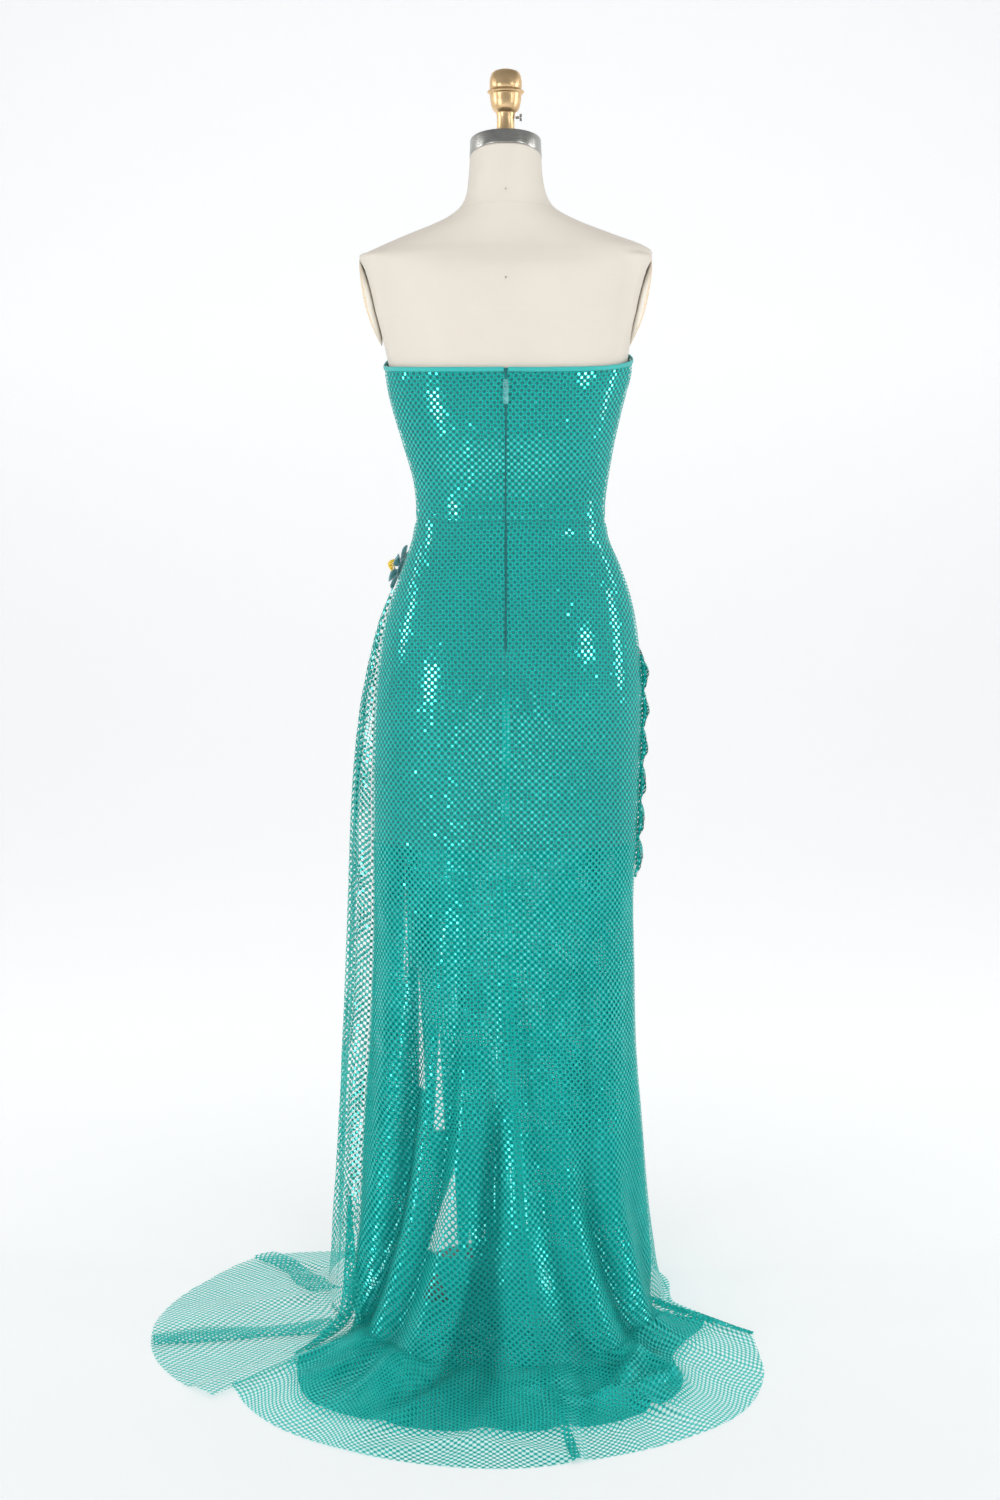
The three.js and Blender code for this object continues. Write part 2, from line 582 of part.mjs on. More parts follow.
// Zip: a narrow coil in the slot of the back seam, with its slider and hanging pull
const COIL = { half: 1.2, depth: 0.5, thick: 1.6, short: 1 };
const PULL = { z: 1206, stand: 3.6, long: 27, wide: 6.4, thick: 1.2 };
const EYE = { half: 3.4, window: 5.4, bar: 1.2, below: 1, swell: 0.4 };
const SLIDER = { half: 3.1, low: -5.5, high: 4.5, thick: 2, gap: 0.5 };
const ARCH = { wide: 1.8, half: 3.2, sunk: 0.4, tunnel: 1.2, roof: 1.1 };
function addZipCoil() {
  const levels = (degrees) => [
    ...BODICE_STEPS.map((step) => bodiceZ(degrees, step) - (step === 1 ? COIL.short : 0)).reverse(),
    ...HANG_ROWS.map((row) => row.z).filter((z) => z < WAIST_Z && z > ZIP_END_Z),
    ZIP_END_Z + COIL.short,
  ];
  const half = COIL.half / GAP_RADIUS.bodice / DEG;
  add("zip_coil", figureWall([90 - half, 90 + half], levels, COIL.depth, COIL.thick), zipFinish);
}

// Joins two closed geometries into one solid
const wasm = await Module();
wasm.setup();
function asSolid(geometry) {
  const bare = geometry.index ? geometry.toNonIndexed() : geometry.clone();
  bare.deleteAttribute("normal");
  bare.deleteAttribute("uv");
  const merged = mergeVertices(bare, 1e-4);
  const data = { numProp: 3, vertProperties: merged.attributes.position.array, triVerts: merged.index.array };
  return new wasm.Manifold(new wasm.Mesh({ ...data, triVerts: new Uint32Array(data.triVerts) }));
}
function asGeometry(solid) {
  const mesh = solid.getMesh();
  const geometry = new THREE.BufferGeometry();
  geometry.setAttribute("position", new THREE.Float32BufferAttribute(mesh.vertProperties, 3));
  geometry.setIndex([...mesh.triVerts]);
  return geometry;
}
// Extrudes a flat outline in Y and Z along X, centred on x = 0
function crossExtrude(shape, width) {
  const geometry = new THREE.ExtrudeGeometry(shape, { depth: width, bevelEnabled: false, steps: 1 });
  const [x, y, z] = [0, 1, 2].map((k) => new THREE.Vector3().setComponent(k, 1));
  return geometry.translate(0, 0, -width / 2).applyMatrix4(new THREE.Matrix4().makeBasis(y, z, x));
}
function rectangle(Path, low, high) {
  const outline = new Path();
  outline.moveTo(low[0], low[1]);
  outline.lineTo(high[0], low[1]);
  outline.lineTo(high[0], high[1]);
  outline.lineTo(low[0], high[1]);
  outline.closePath();
  return outline;
}
const BACK_Y = figureRadius(90, PULL.z);
const PULL_PIVOT = new THREE.Vector3(0, BACK_Y + PULL.stand, PULL.z);
function addSlider() {
  const bodyLow = BACK_Y + SLIDER.gap;
  const bodyHigh = bodyLow + SLIDER.thick;
  const body = rectangle(THREE.Shape, [bodyLow, PULL.z + SLIDER.low], [bodyHigh, PULL.z + SLIDER.high]);
  const tunnel = PULL_PIVOT.y + ARCH.tunnel;
  const archLow = [bodyHigh - ARCH.sunk, PULL.z - ARCH.half];
  const arch = rectangle(THREE.Shape, archLow, [tunnel + ARCH.roof, PULL.z + ARCH.half]);
  arch.holes.push(rectangle(THREE.Path, [bodyHigh, PULL.z - ARCH.tunnel], [tunnel, PULL.z + ARCH.tunnel]));
  const joined = asSolid(crossExtrude(body, 2 * SLIDER.half)).add(asSolid(crossExtrude(arch, ARCH.wide)));
  add("zip_slider", asGeometry(joined), pullFinish);
}

// The pull is a flat tab with an eye at its top, which hangs from the slider's arch.
function addPull() {
  const shape = new THREE.Shape();
  const half = PULL.wide / 2;
  const low = half - PULL.long;
  const waist = -EYE.window - EYE.below;
  shape.moveTo(-EYE.half, EYE.bar / 2);
  shape.lineTo(-EYE.half, waist);
  shape.quadraticCurveTo(-half - EYE.swell, low * 0.7, -half, low);
  shape.absarc(0, low, half, Math.PI, 2 * Math.PI, false);
  shape.quadraticCurveTo(half + EYE.swell, low * 0.7, EYE.half, waist);
  shape.lineTo(EYE.half, EYE.bar / 2);
  shape.closePath();
  const inside = EYE.half - EYE.bar;
  shape.holes.push(rectangle(THREE.Path, [-inside, -EYE.window - EYE.bar / 2], [inside, -EYE.bar / 2]));
  const plate = new THREE.ExtrudeGeometry(shape, {
    depth: PULL.thick,
    bevelEnabled: false,
    curveSegments: 6,
    steps: 1,
  });
  plate.translate(0, 0, -PULL.thick / 2);
  const hang = new THREE.Group();
  hang.position.copy(PULL_PIVOT);
  hang.rotation.x = Math.PI / 2;
  gown.add(hang);
  add("zip_pull", plate, pullFinish, hang);
}

// Ornament on the left hip: six petals round a beaded centre, on a small round backing
const ORNAMENT = { degrees: -13, z: 968, petals: 6, reach: 33, inner: 9, wide: 16, thick: 2.4, stand: 5.8 };
const NEARBY = { degrees: 1, z: 20 };
const onFigure = (degrees, z, depth = 0) => around(degrees, figureRadius(degrees, z) - depth, z);

// A group that stands on the figure at the ornament's place, with its Z axis pointing out
function ornamentPlace() {
  const { degrees, z } = ORNAMENT;
  const between = (low, high) => high.sub(low).normalize();
  const along = between(onFigure(degrees - NEARBY.degrees, z), onFigure(degrees + NEARBY.degrees, z));
  const up = between(onFigure(degrees, z - NEARBY.z), onFigure(degrees, z + NEARBY.z));
  const out = along.clone().cross(up).normalize();
  const place = new THREE.Group();
  place.matrixAutoUpdate = false;
  place.matrix.makeBasis(along, up, out);
  const middle = onFigure(degrees, z);
  middle.x += out.x * (SWAG.clear + ORNAMENT.stand);
  middle.y += out.y * (SWAG.clear + ORNAMENT.stand);
  place.matrix.setPosition(middle);
  return place;
}
function addOrnament() {
  const place = ornamentPlace();
  gown.add(place);
  for (let k = 0; k < ORNAMENT.petals; k++) {
    const turn = new THREE.Group();
    turn.rotation.z = (k * 2 * Math.PI) / ORNAMENT.petals + Math.PI / 2;
    place.add(turn);
    add("ornament_petal_" + (k + 1), petal(), petalFinish, turn);
  }
  const dome = [
    [0, 3.5],
    [10, 3.5],
    [9.6, 5.4],
    [6.8, 8.4],
    [3.4, 9.8],
    [0, 10.2],
  ];
  add("ornament_centre", turned(dome, 14), centreFinish, place);
  const disc = [
    [0, -2.2],
    [14, -2.2],
    [14, -0.3],
    [0, -0.3],
  ];
  add("ornament_backing", turned(disc, 16), petalFinish, place);
}

// One petal along +X: a cupped leaf, widest past its middle and pointed at its tip
function petal() {
  const lengths = [0, 0.2, 0.45, 0.7, 0.9, 1];
  const widths = [0.3, 0.62, 0.9, 1, 0.55, 0.08];
  const across = [-1, -0.5, 0, 0.5, 1];
  const span = ORNAMENT.reach - ORNAMENT.inner;
  const grid = (thick) =>
    lengths.map((t, i) =>
      across.map((c) => {
        const half = (ORNAMENT.wide / 2) * widths[i];
        const cup = 2.6 * c * c * widths[i] + 1.5 * smooth(t) * t;
        return new THREE.Vector3(ORNAMENT.inner + span * t, c * half, cup + thick);
      }),
    );
  return wall(grid(ORNAMENT.thick), grid(0));
}

// Dress form: a linen-covered torso, cut off at the thigh, with flat armholes and a slanted neck
const SHOULDER_ROWS = [
  { z: 1300, side: 167, left: 170, right: 170, front: 98, back: 97, tilt: 0 },
  { z: 1330, side: 173.5, left: 177, right: 177, front: 84, back: 96, tilt: 0 },
  { z: 1352, side: 180, left: 184, right: 184, front: 70, back: 90, tilt: 0 },
  { z: 1370, side: 186.5, left: 190, right: 190, front: 58, back: 80, tilt: 0 },
  { z: 1383, side: 0, left: 166, right: 184, front: 54, back: 72, tilt: 0 },
  { z: 1400, side: 0, left: 126, right: 139, front: 51, back: 65, tilt: 0 },
  { z: 1416, side: 0, left: 84, right: 94, front: 50, back: 59, tilt: 0.05 },
  { z: 1430, side: 0, left: 62, right: 66, front: 50, back: 54, tilt: 0.1 },
  { z: 1446, side: 0, left: 52, right: 54, front: 49, back: 50, tilt: 0.15 },
  { z: 1470, side: 0, left: 48, right: 48, front: 47, back: 46.5, tilt: 0.22 },
  { z: 1495, side: 0, left: 46, right: 46, front: 45.4, back: 45.4, tilt: 0.3 },
];
const FORM_COLUMNS = 24;
const FORM_POWER = 2.15;
const ARMHOLE_ANGLE = 15;
const formAngles = list(FORM_COLUMNS, (j) => (j * 360) / FORM_COLUMNS);
function shoulderPoint(degrees, row) {
  const a = degrees * DEG;
  const offSide = Math.asin(Math.sin(a));
  if (row.side && Math.abs(offSide) < (ARMHOLE_ANGLE + 1) * DEG) {
    return new THREE.Vector3(Math.sign(Math.cos(a)) * row.side, row.side * Math.tan(offSide), row.z);
  }
  const across = Math.cos(a) > 0 ? row.left : row.right;
  const deep = Math.sin(a) > 0 ? row.back : row.front;
  const sum = (Math.abs(Math.cos(a)) / across) ** FORM_POWER + (Math.abs(Math.sin(a)) / deep) ** FORM_POWER;
  const r = sum ** (-1 / FORM_POWER);
  return around(degrees, r, row.z + row.tilt * r * Math.sin(a));
}
const FORM_LOW_ROWS = [FORM_BOTTOM_Z, 780, 860, 900, 940, 1008];
function addForm() {
  const ringOf = (point) => formAngles.map(point);
  const inGown = (degrees, z) => onFigure(degrees, z, FORM_DEPTH);
  const rings = [
    ...FORM_LOW_ROWS.map((z) => ringOf((degrees) => inGown(degrees, z))),
    ...BODICE_STEPS.map((step) => ringOf((degrees) => inGown(degrees, bodiceZ(degrees, step)))),
    ...SHOULDER_ROWS.map((row) => ringOf((degrees) => shoulderPoint(degrees, row))),
  ];
  add("form_torso", lofted(rings), linenFinish);
}

// A level ring that leans back: its height falls by `tilt` for each millimetre forward
const leaningRing = (radius, z, tilt) =>
  formAngles.map((degrees) => around(degrees, radius, z + tilt * radius * Math.sin(degrees * DEG)));
const FINIAL = { screwZ: 1547.5, shank: 1.8, shankLong: 5, head: 4.6, headLong: 3, flare: 0.8 };
function addNeckAndFinial() {
  const { low, high, lowTilt, highTilt, radius, flare, bevel } = NECK_CAP;
  const band = [leaningRing(radius + flare, low, lowTilt), leaningRing(radius, high - bevel, highTilt)];
  add("neck_cap", lofted([...band, leaningRing(radius - bevel, high, highTilt)]), steelFinish);
  const foot = high + highTilt * STEM_RADIUS + SEAM_GAP;
  const outline = [
    [0, foot],
    [STEM_RADIUS + FINIAL.flare, foot],
    [STEM_RADIUS + FINIAL.flare, foot + 3],
    [STEM_RADIUS, foot + 4],
    [STEM_RADIUS, 1553],
    [15.5, 1555.5],
    [18.8, 1563],
    [20.2, 1573],
    [20.6, 1576],
    [23.6, 1578],
    [23.6, 1580.5],
    [20.4, 1583],
    [20.6, 1587],
    [18.6, 1597],
    [15, 1603.5],
    [8, 1606.6],
    [0, 1607.4],
  ];
  add("finial", turned(outline, 20), brassFinish);
  const across = -STEM_RADIUS - SEAM_GAP;
  const shank = crossBar(FINIAL.shank, FINIAL.shankLong, 10);
  add("finial_screw", shank.translate(across - FINIAL.shankLong / 2, 0, FINIAL.screwZ), steelFinish);
  const head = crossBar(FINIAL.head, FINIAL.headLong, 12);
  const headAt = across - FINIAL.shankLong - SEAM_GAP - FINIAL.headLong / 2;
  add("finial_screw_head", head.translate(headAt, 0, FINIAL.screwZ), steelFinish);
}

// Arm plates: flat ovals that lean with the armholes and stand off them on a low boss
const PLATE = { z: 1312, tall: 52, wide: 42, x: 177.5, lean: 0.2, thick: 4, dome: 1, boss: 0.22, back: 7.3 };
const PLATE_PARTS = 16;
function addArmPlates() {
  for (const [name, sign] of [
    ["arm_plate_left", 1],
    ["arm_plate_right", -1],
  ]) {
    const ringOf = (scale, depth) =>
      list(PLATE_PARTS, (k) => {
        const turn = (k * 2 * Math.PI) / PLATE_PARTS;
        const rise = PLATE.tall * scale * Math.sin(turn);
        const x = sign * (PLATE.x + PLATE.lean * rise + depth);
        return new THREE.Vector3(x, PLATE.wide * scale * Math.cos(turn), PLATE.z + rise);
      });
    const boss = [ringOf(PLATE.boss, -PLATE.back), ringOf(PLATE.boss, 0)];
    const plate = [ringOf(1, 0), ringOf(1, PLATE.thick), ringOf(0.5, PLATE.thick + PLATE.dome)];
    add(name, lofted([...boss, ...plate]), plateFinish);
  }
}

function addStand() {
  const top = FORM_BOTTOM_Z - SEAM_GAP;
  const tall = top - POLE_FOOT_Z;
  const pole = new THREE.CylinderGeometry(POLE_RADIUS, POLE_RADIUS, tall, 20).rotateX(Math.PI / 2);
  add("stand_pole", pole.translate(0, 0, POLE_FOOT_Z + tall / 2), steelFinish);
  const profile = [
    [0, 0],
    [BASE_RADIUS, 0],
    [BASE_RADIUS, 7],
    [BASE_RADIUS - 14, 13],
    [46, 17],
    [34, BASE_TALL],
    [0, BASE_TALL],
  ];
  add("stand_base", turned(profile, 36), ironFinish);
}

addLining();
addBodice();
addSkirtBacks();
addSkirtFront();
addUnderskirt();
addDrape();
addSwag();
addZipCoil();
addSlider();
addPull();
addOrnament();
addForm();
addNeckAndFinial();
addArmPlates();
addStand();

export default gown;
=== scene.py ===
"""Looks of a strapless mirror-dot net gown with a train, on its linen dress form."""

import math

import bmesh
import bpy
import numpy as np
from mathutils import Matrix, Vector


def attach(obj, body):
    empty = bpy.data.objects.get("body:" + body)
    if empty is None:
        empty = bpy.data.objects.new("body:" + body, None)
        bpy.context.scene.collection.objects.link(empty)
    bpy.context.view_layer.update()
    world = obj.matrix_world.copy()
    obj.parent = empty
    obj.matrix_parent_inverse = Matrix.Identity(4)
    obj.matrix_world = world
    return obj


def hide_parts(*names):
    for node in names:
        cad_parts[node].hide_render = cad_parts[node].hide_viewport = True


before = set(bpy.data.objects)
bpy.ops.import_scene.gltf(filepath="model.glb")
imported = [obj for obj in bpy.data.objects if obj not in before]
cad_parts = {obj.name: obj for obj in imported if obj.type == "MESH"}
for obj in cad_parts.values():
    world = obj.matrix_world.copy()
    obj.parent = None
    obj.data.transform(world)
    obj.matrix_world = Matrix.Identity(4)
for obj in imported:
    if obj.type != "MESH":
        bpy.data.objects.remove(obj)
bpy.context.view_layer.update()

# Sizes are in millimetres until a mesh is made
MM = 0.001
BODY = "gown_and_form"
TAB = "zip_pull_tab"

# Layers, each measured in from the gown's outer face
NET_IN = 0.8
LINING_IN = 4.0
UNDER_IN = 2.8
FORM_IN = 6.4

# Heights
WAIST = 1034
ZIP_END = 868
LINING_HEM = 602
BINDING = 6
FORM_BOTTOM = 772
PULL_AT = (0, 97.3, 1206)

# The net: one mesh of its knit, and how much of a mesh its holes and mirror dots fill
MESH = 4.5
HOLE_SHARE = 0.55
DOT_SHARE = 0.36

# Share of the net's shadow that light scattered inside its knit fills again
SHADE_LOST = 0.85


def rows(names, *values):
    """A table as a column of numbers for each name."""
    return dict(zip(names.split(), np.array(values, float).T))


def each(table, names):
    """A table's rows, with the named columns in order."""
    return zip(*(table[name] for name in names.split()))


FIGURE = rows(
    "z left right front back power",
    (1330, 158, 160, 92, 97, 2.2),
    (1290, 158, 162, 110, 97, 2.2),
    (1228, 158, 165, 122, 93, 2.2),
    (1190, 152, 156, 118, 94, 2.2),
    (1138, 137, 144, 103, 90, 2.2),
    (1086, 122, 135, 90, 81, 2.15),
    (1050, 118, 131, 86, 77, 2.1),
    (1034, 119, 132, 86, 78, 2.1),
    (1008, 124, 137, 88, 82, 2.1),
    (976, 135, 151, 93, 90, 2.1),
    (940, 148, 164, 99, 100, 2.15),
    (900, 160, 173, 104, 109, 2.2),
    (860, 167, 178, 107, 116, 2.2),
    (820, 172, 181, 108, 118, 2.2),
    (780, 175, 181, 107, 117, 2.2),
    (730, 177, 180, 105, 115, 2.2),
    (670, 178, 178, 103, 114, 2.2),
    (600, 178, 175, 102, 114, 2.2),
    (530, 178, 172, 101, 116, 2.2),
    (446, 180, 174, 102, 119, 2.2),
    (336, 186, 177, 109, 129, 2.2),
    (225, 196, 186, 120, 150, 2.2),
    (140, 204, 193, 132, 182, 2.1),
    (95, 208, 198, 142, 212, 2.1),
    (58, 211, 203, 150, 246, 2.1),
    (30, 215, 207, 157, 282, 2.1),
    (12, 219, 211, 163, 314, 2.1),
)
BUST = {"z": 1222, "tall": 52, "angle": 24, "wide": 15, "out": 15}
FOLDS = rows(
    "mid foot top wide out",
    (22, 31, 780, 7, 7),
    (38, 43, 600, 5.5, -17),
    (50, 52, 620, 6, 8),
    (60, 59, 520, 5, -12),
    (71, 67, 560, 6, 13),
    (82, 84, 430, 5.5, -15),
    (94, 98, 470, 5.5, 9),
    (106, 110, 380, 6, -7),
    (117, 118, 330, 6, 10),
    (129, 128, 300, 5.5, -13),
    (143, 137, 330, 6, 10),
    (158, 152, 300, 7, -6),
    (203, 205, 420, 8, 8),
    (222, 224, 380, 8, -8),
    (243, 244, 450, 9, 9),
    (264, 266, 400, 8, -8),
    (283, 286, 430, 8, 9),
)
HANG_Z = [1034, 1008, 976, 940, 900, 860, 820, 780, 730, 670, 602]
HANG_Z += [530, 460, 390, 320, 255, 195, 140, 95, 58, 30, 12]
FLOOR_OUT = [0, 0.2, 0.45, 0.72, 0.8, 1]
LAST_HANG = len(HANG_Z) - 1
LAST_STEP = LAST_HANG + len(FLOOR_OUT) - 1
UNDER_EDGE_STEP = LAST_HANG + 3
HEM = rows(
    "angle radius",
    (132, 463),
    (149, 360),
    (155, 283),
    (161, 236),
    (180, 222),
    (205, 200),
    (240, 182),
    (270, 174),
    (300, 184),
)
TRAIN_HEM = rows(
    "angle radius",
    (44, 468),
    (46, 476),
    (54, 511),
    (62, 536),
    (76, 559),
    (90, 567),
    (103, 549),
    (112, 533),
    (123, 505),
    (135, 445),
    (141, 407),
    (150, 359),
)
UNDER_HEM = rows(
    "angle radius",
    (46, 370),
    (54, 425),
    (61, 462),
    (73, 476),
    (88, 477),
    (102, 472),
    (112, 450),
    (121, 412),
    (129, 332),
    (150, 300),
)
DRAPE_HEM = rows(
    "angle radius",
    (-24, 268),
    (-17, 334),
    (-11, 364),
    (2, 413),
    (10, 446),
    (22, 488),
    (30, 508),
    (37, 517),
    (43, 520),
)
SEAMS = rows(
    "step left back right slit",
    (0, 0, 90, 180, 360),
    (3, 0, 90, 180, 357),
    (5, 0, 90, 180, 352),
    (8, 0, 90, 180, 338),
    (10, 1, 90.5, 180, 326),
    (13, 4, 93, 180, 312),
    (16, 13, 97, 177, 302),
    (19, 27, 98, 163, 296),
    (21, 37, 98, 149, 294),
    (22, 43, 98, 149, 294),
    (23, 45, 98, 149, 293),
    (26, 46, 98, 149, 293),
)
TOP_EDGE = rows(
    "angle left right",
    (-90, 1272, 1272),
    (-66, 1290, 1290),
    (-35, 1264, 1270),
    (0, 1235, 1244),
    (25, 1228, 1230),
    (60, 1226, 1226),
    (90, 1226, 1226),
)


# Shared shape functions
def read(table, by, column, at):
    """Reads a column of a table with a smooth curve through its rows, which rise or fall along `by`."""
    x, y = table[by], table[column]
    if x[0] > x[-1]:
        x, y = x[::-1], y[::-1]
    at = np.clip(at, x[0], x[-1])
    i = np.clip(np.searchsorted(x, at, side="right") - 1, 0, len(x) - 2)
    index = np.arange(len(x))
    below, above = np.maximum(index - 1, 0), np.minimum(index + 1, len(x) - 1)
    slope = (y[above] - y[below]) / (x[above] - x[below])
    span = x[i + 1] - x[i]
    t = (at - x[i]) / span
    rise = y[i + 1] - y[i]
    bend = (1 - t) * (slope[i] * span - rise) + t * (rise - slope[i + 1] * span)
    return y[i] + rise * t + t * (1 - t) * bend


def smooth(t):
    t = np.clip(t, 0, 1)
    return t * t * (3 - 2 * t)


def mix(a, b, t):
    return a + (b - a) * t


def hump(distance, width):
    return np.exp(-((distance / width) ** 2))


def oval_radius(degrees, left, right, front, back, power):
    a = np.radians(degrees)
    across = np.where(np.cos(a) > 0, left, right)
    deep = np.where(np.sin(a) > 0, back, front)
    total = (np.abs(np.cos(a)) / across) ** power + (np.abs(np.sin(a)) / deep) ** power
    return total ** (-1 / power)


def figure_radius(degrees, z):
    """The gown's outer radius round the pole, without folds."""
    sides = [read(FIGURE, "z", name, z) for name in ("left", "right", "front", "back", "power")]
    bust = sum(hump(degrees % 360 - 270 - side * BUST["angle"], BUST["wide"]) for side in (-1, 1))
    return oval_radius(degrees, *sides) + BUST["out"] * bust * hump(z - BUST["z"], BUST["tall"])


def folds_at(degrees, z):
    """How far the large folds move the skirt in or out."""
    out = 0
    for mid, foot, top, wide, deep in each(FOLDS, "mid foot top wide out"):
        fall = np.clip((top - z) / top, 0, 1)
        out = out + deep * smooth(fall * 1.25) * hump(degrees - mix(mid, foot, fall), wide)
    return out


# Fine creases of the back and side: where each starts, its length, lean, width and depth
CREASES = rows(
    "angle z long lean wide deep",
    (84, 850, 60, -10, 3.0, -1.2),
    (97, 852, 70, 12, 3.2, -1.2),
    (76, 842, 90, -16, 4.0, 1.2),
    (105, 838, 80, 14, 4.0, 1.0),
    (66, 1004, 50, 6, 4.0, 1.4),
    (48, 1000, 60, 8, 4.5, 1.3),
    (120, 1002, 55, -7, 4.5, 1.3),
    (138, 996, 60, -8, 5.0, 1.2),
    (34, 560, 420, 5, 2.6, -1.4),
    (64, 600, 430, 3, 2.6, 1.2),
    (74, 520, 380, -4, 2.4, -1.4),
    (87, 560, 400, 2, 2.2, 1.3),
    (101, 500, 380, 4, 2.6, -1.3),
    (112, 560, 420, 2, 2.8, 1.2),
    (124, 480, 380, -3, 2.6, 1.1),
    (136, 540, 420, -4, 2.6, -1.2),
    (150, 600, 480, -3, 3.0, 1.1),
    (164, 560, 420, -6, 3.0, -1.0),
    (212, 560, 420, 4, 3.2, 1.2),
    (233, 600, 460, 0, 3.2, -1.1),
    (254, 540, 420, 3, 3.2, 1.2),
    (275, 600, 460, -2, 3.2, -1.1),
)


def creases_at(degrees, z):
    out = 0
    for angle, top, long, lean, wide, deep in each(CREASES, "angle z long lean wide deep"):
        fall = (top - z) / long
        fade = smooth(fall * 4) * smooth((1 - fall) * 2)
        out = out + deep * fade * hump(degrees - angle - lean * fall, wide)
    return out


def zip_dimple(degrees, z):
    """The small dimple where the zip ends in the back seam."""
    return -2.6 * hump(degrees - 90.2, 7) * hump(z - ZIP_END, 15)


def waist_tuck(z):
    """The waist seam's pinch, with the cloth a little full on each side of it."""
    return -1.4 * hump(z - WAIST, 4.5) + 0.4 * hump(np.abs(z - WAIST) - 11, 6)


def around(degrees, radius, z):
    """Points from angles, radii and heights."""
    a = np.radians(degrees)
    return np.stack(np.broadcast_arrays(radius * np.cos(a), radius * np.sin(a), z), axis=-1)


def top_edge(degrees):
    turn = degrees % 360
    on_right = (turn > 90) & (turn < 270)
    on_left = np.where(turn >= 270, turn - 360, turn)
    right = read(TOP_EDGE, "angle", "right", 180 - turn)
    left = read(TOP_EDGE, "angle", "left", on_left)
    return np.where(on_right, right, left)


# Where skirt layers and the zip's slot start and end
ZIP_SLOT = 1.5
FLOOR_ROW = 149
UNDER_STEP = 9.75
ZIP_END_STEP = 5.8
SEAM_HALF = 5.0


# Mesh making
def smooth_object(name, points, faces, material, cloth=None, painted_shade=None):
    """A mesh object from points in millimetres. `cloth` is each point's place in the flat cloth, in metres,
    and `painted_shade` says how deep in a fold it lies, from 0 to 1, for painted shade there, and below 0
    where it lies on the floor and gets painted light."""
    mesh = bpy.data.meshes.new(name)
    mesh.from_pydata((np.asarray(points, float) * MM).tolist(), [], faces)
    mesh.shade_smooth()
    if cloth is not None:
        layer = mesh.uv_layers.new(name="Cloth")
        corner = np.empty(len(mesh.loops), np.int32)
        mesh.loops.foreach_get("vertex_index", corner)
        layer.data.foreach_set("uv", np.asarray(cloth, np.float32)[corner].ravel())
    # The painted shade and painted light for the net's colour, kept on each point
    if painted_shade is not None:
        depth = mesh.attributes.new("Painted_shade_and_light", "FLOAT", "POINT")
        depth.data.foreach_set("value", np.asarray(painted_shade, np.float32).ravel())
    mesh.materials.append(material)
    obj = bpy.data.objects.new(name, mesh)
    bpy.context.scene.collection.objects.link(obj)
    return obj


def grid_faces(count, columns, closed=False):
    i, j = np.meshgrid(np.arange(count - 1), np.arange(columns if closed else columns - 1), indexing="ij")
    k = (j + 1) % columns
    here, below = i * columns, (i + 1) * columns
    return np.stack([here + j, below + j, below + k, here + k], -1).reshape(-1, 4)


def grid_object(name, grid, material, cloth=None, closed=False, caps=False, painted_shade=None):
    """A sheet or tube through a grid of points, rows by columns."""
    count, columns = grid.shape[:2]
    faces = grid_faces(count, columns, closed).tolist()
    if caps:
        faces.append(list(range(columns)))
        faces.append([(count - 1) * columns + j for j in reversed(range(columns))])
    flat = None if cloth is None else cloth.reshape(-1, 2)
    return smooth_object(name, grid.reshape(-1, 3), faces, material, flat, painted_shade)


def turned(name, profile, material, parts=64, rounding=0.0):
    """A solid of revolution round Z from (radius, z) pairs, closed at its ends."""
    rz = np.array(profile, float)
    angle = np.arange(parts) * 2 * np.pi / parts
    x = rz[:, 0, None] * np.cos(angle)
    y = rz[:, 0, None] * np.sin(angle)
    grid = np.stack([x, y, np.broadcast_to(rz[:, 1, None], x.shape)], -1)
    obj = grid_object(name, grid, material, closed=True, caps=True)
    if rounding:
        bevel = obj.modifiers.new("Rounded", "BEVEL")
        bevel.width = rounding * MM
        bevel.segments = 2
        bevel.limit_method = "ANGLE"
        bevel.angle_limit = math.radians(35)
    return obj


def seat(obj, nodes=(), body=BODY):
    """Says which body a piece moves with and which CAD nodes it stands for."""
    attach(obj, body)
    if nodes:
        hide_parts(*([nodes] if isinstance(nodes, str) else nodes))
    return obj


def cloth_map(grid, turn, anchor=0, floor_row=None):
    """Lays a grid of points out flat, in metres: across along its rows and up along its columns.
    Rows past `floor_row` lie on the floor and keep their place there, with `turn` as the outward angle."""
    across = np.linalg.norm(np.diff(grid, axis=1), axis=2)
    u = np.concatenate([np.zeros((len(grid), 1)), np.cumsum(across, axis=1)], axis=1)
    u = u - u[:, anchor][:, None]
    step = np.diff(grid, axis=0)
    if floor_row is not None:
        a = math.radians(turn)
        drift = step[:, :, 0] * -math.sin(a) + step[:, :, 1] * math.cos(a)
        for i in range(floor_row, len(grid) - 1):
            u[i + 1] = u[i] + drift[i]
    fall = np.sqrt(np.maximum((step**2).sum(-1) - np.diff(u, axis=0) ** 2, 0))
    v = np.concatenate([np.zeros((1, grid.shape[1])), -np.cumsum(fall, axis=0)], axis=0)
    return np.stack([u, v], -1) * MM


# Node helpers
def new_group(name, inputs, outputs):
    """An empty shader node group with its sockets, given as (name, kind, value) and (name, kind)."""
    tree = bpy.data.node_groups.new(name, "ShaderNodeTree")
    for label, kind, value in inputs:
        socket = tree.interface.new_socket(label, in_out="INPUT", socket_type="NodeSocket" + kind)
        if value is not None:
            socket.default_value = value
    for label, kind in outputs:
        tree.interface.new_socket(label, in_out="OUTPUT", socket_type="NodeSocket" + kind)
    return tree, tree.nodes.new("NodeGroupInput").outputs, tree.nodes.new("NodeGroupOutput").inputs


def put(tree, socket, value):
    """Sets a socket, by a link from another socket or by a constant."""
    if isinstance(value, bpy.types.NodeSocket):
        tree.links.new(value, socket)
    elif value is not None:
        socket.default_value = value


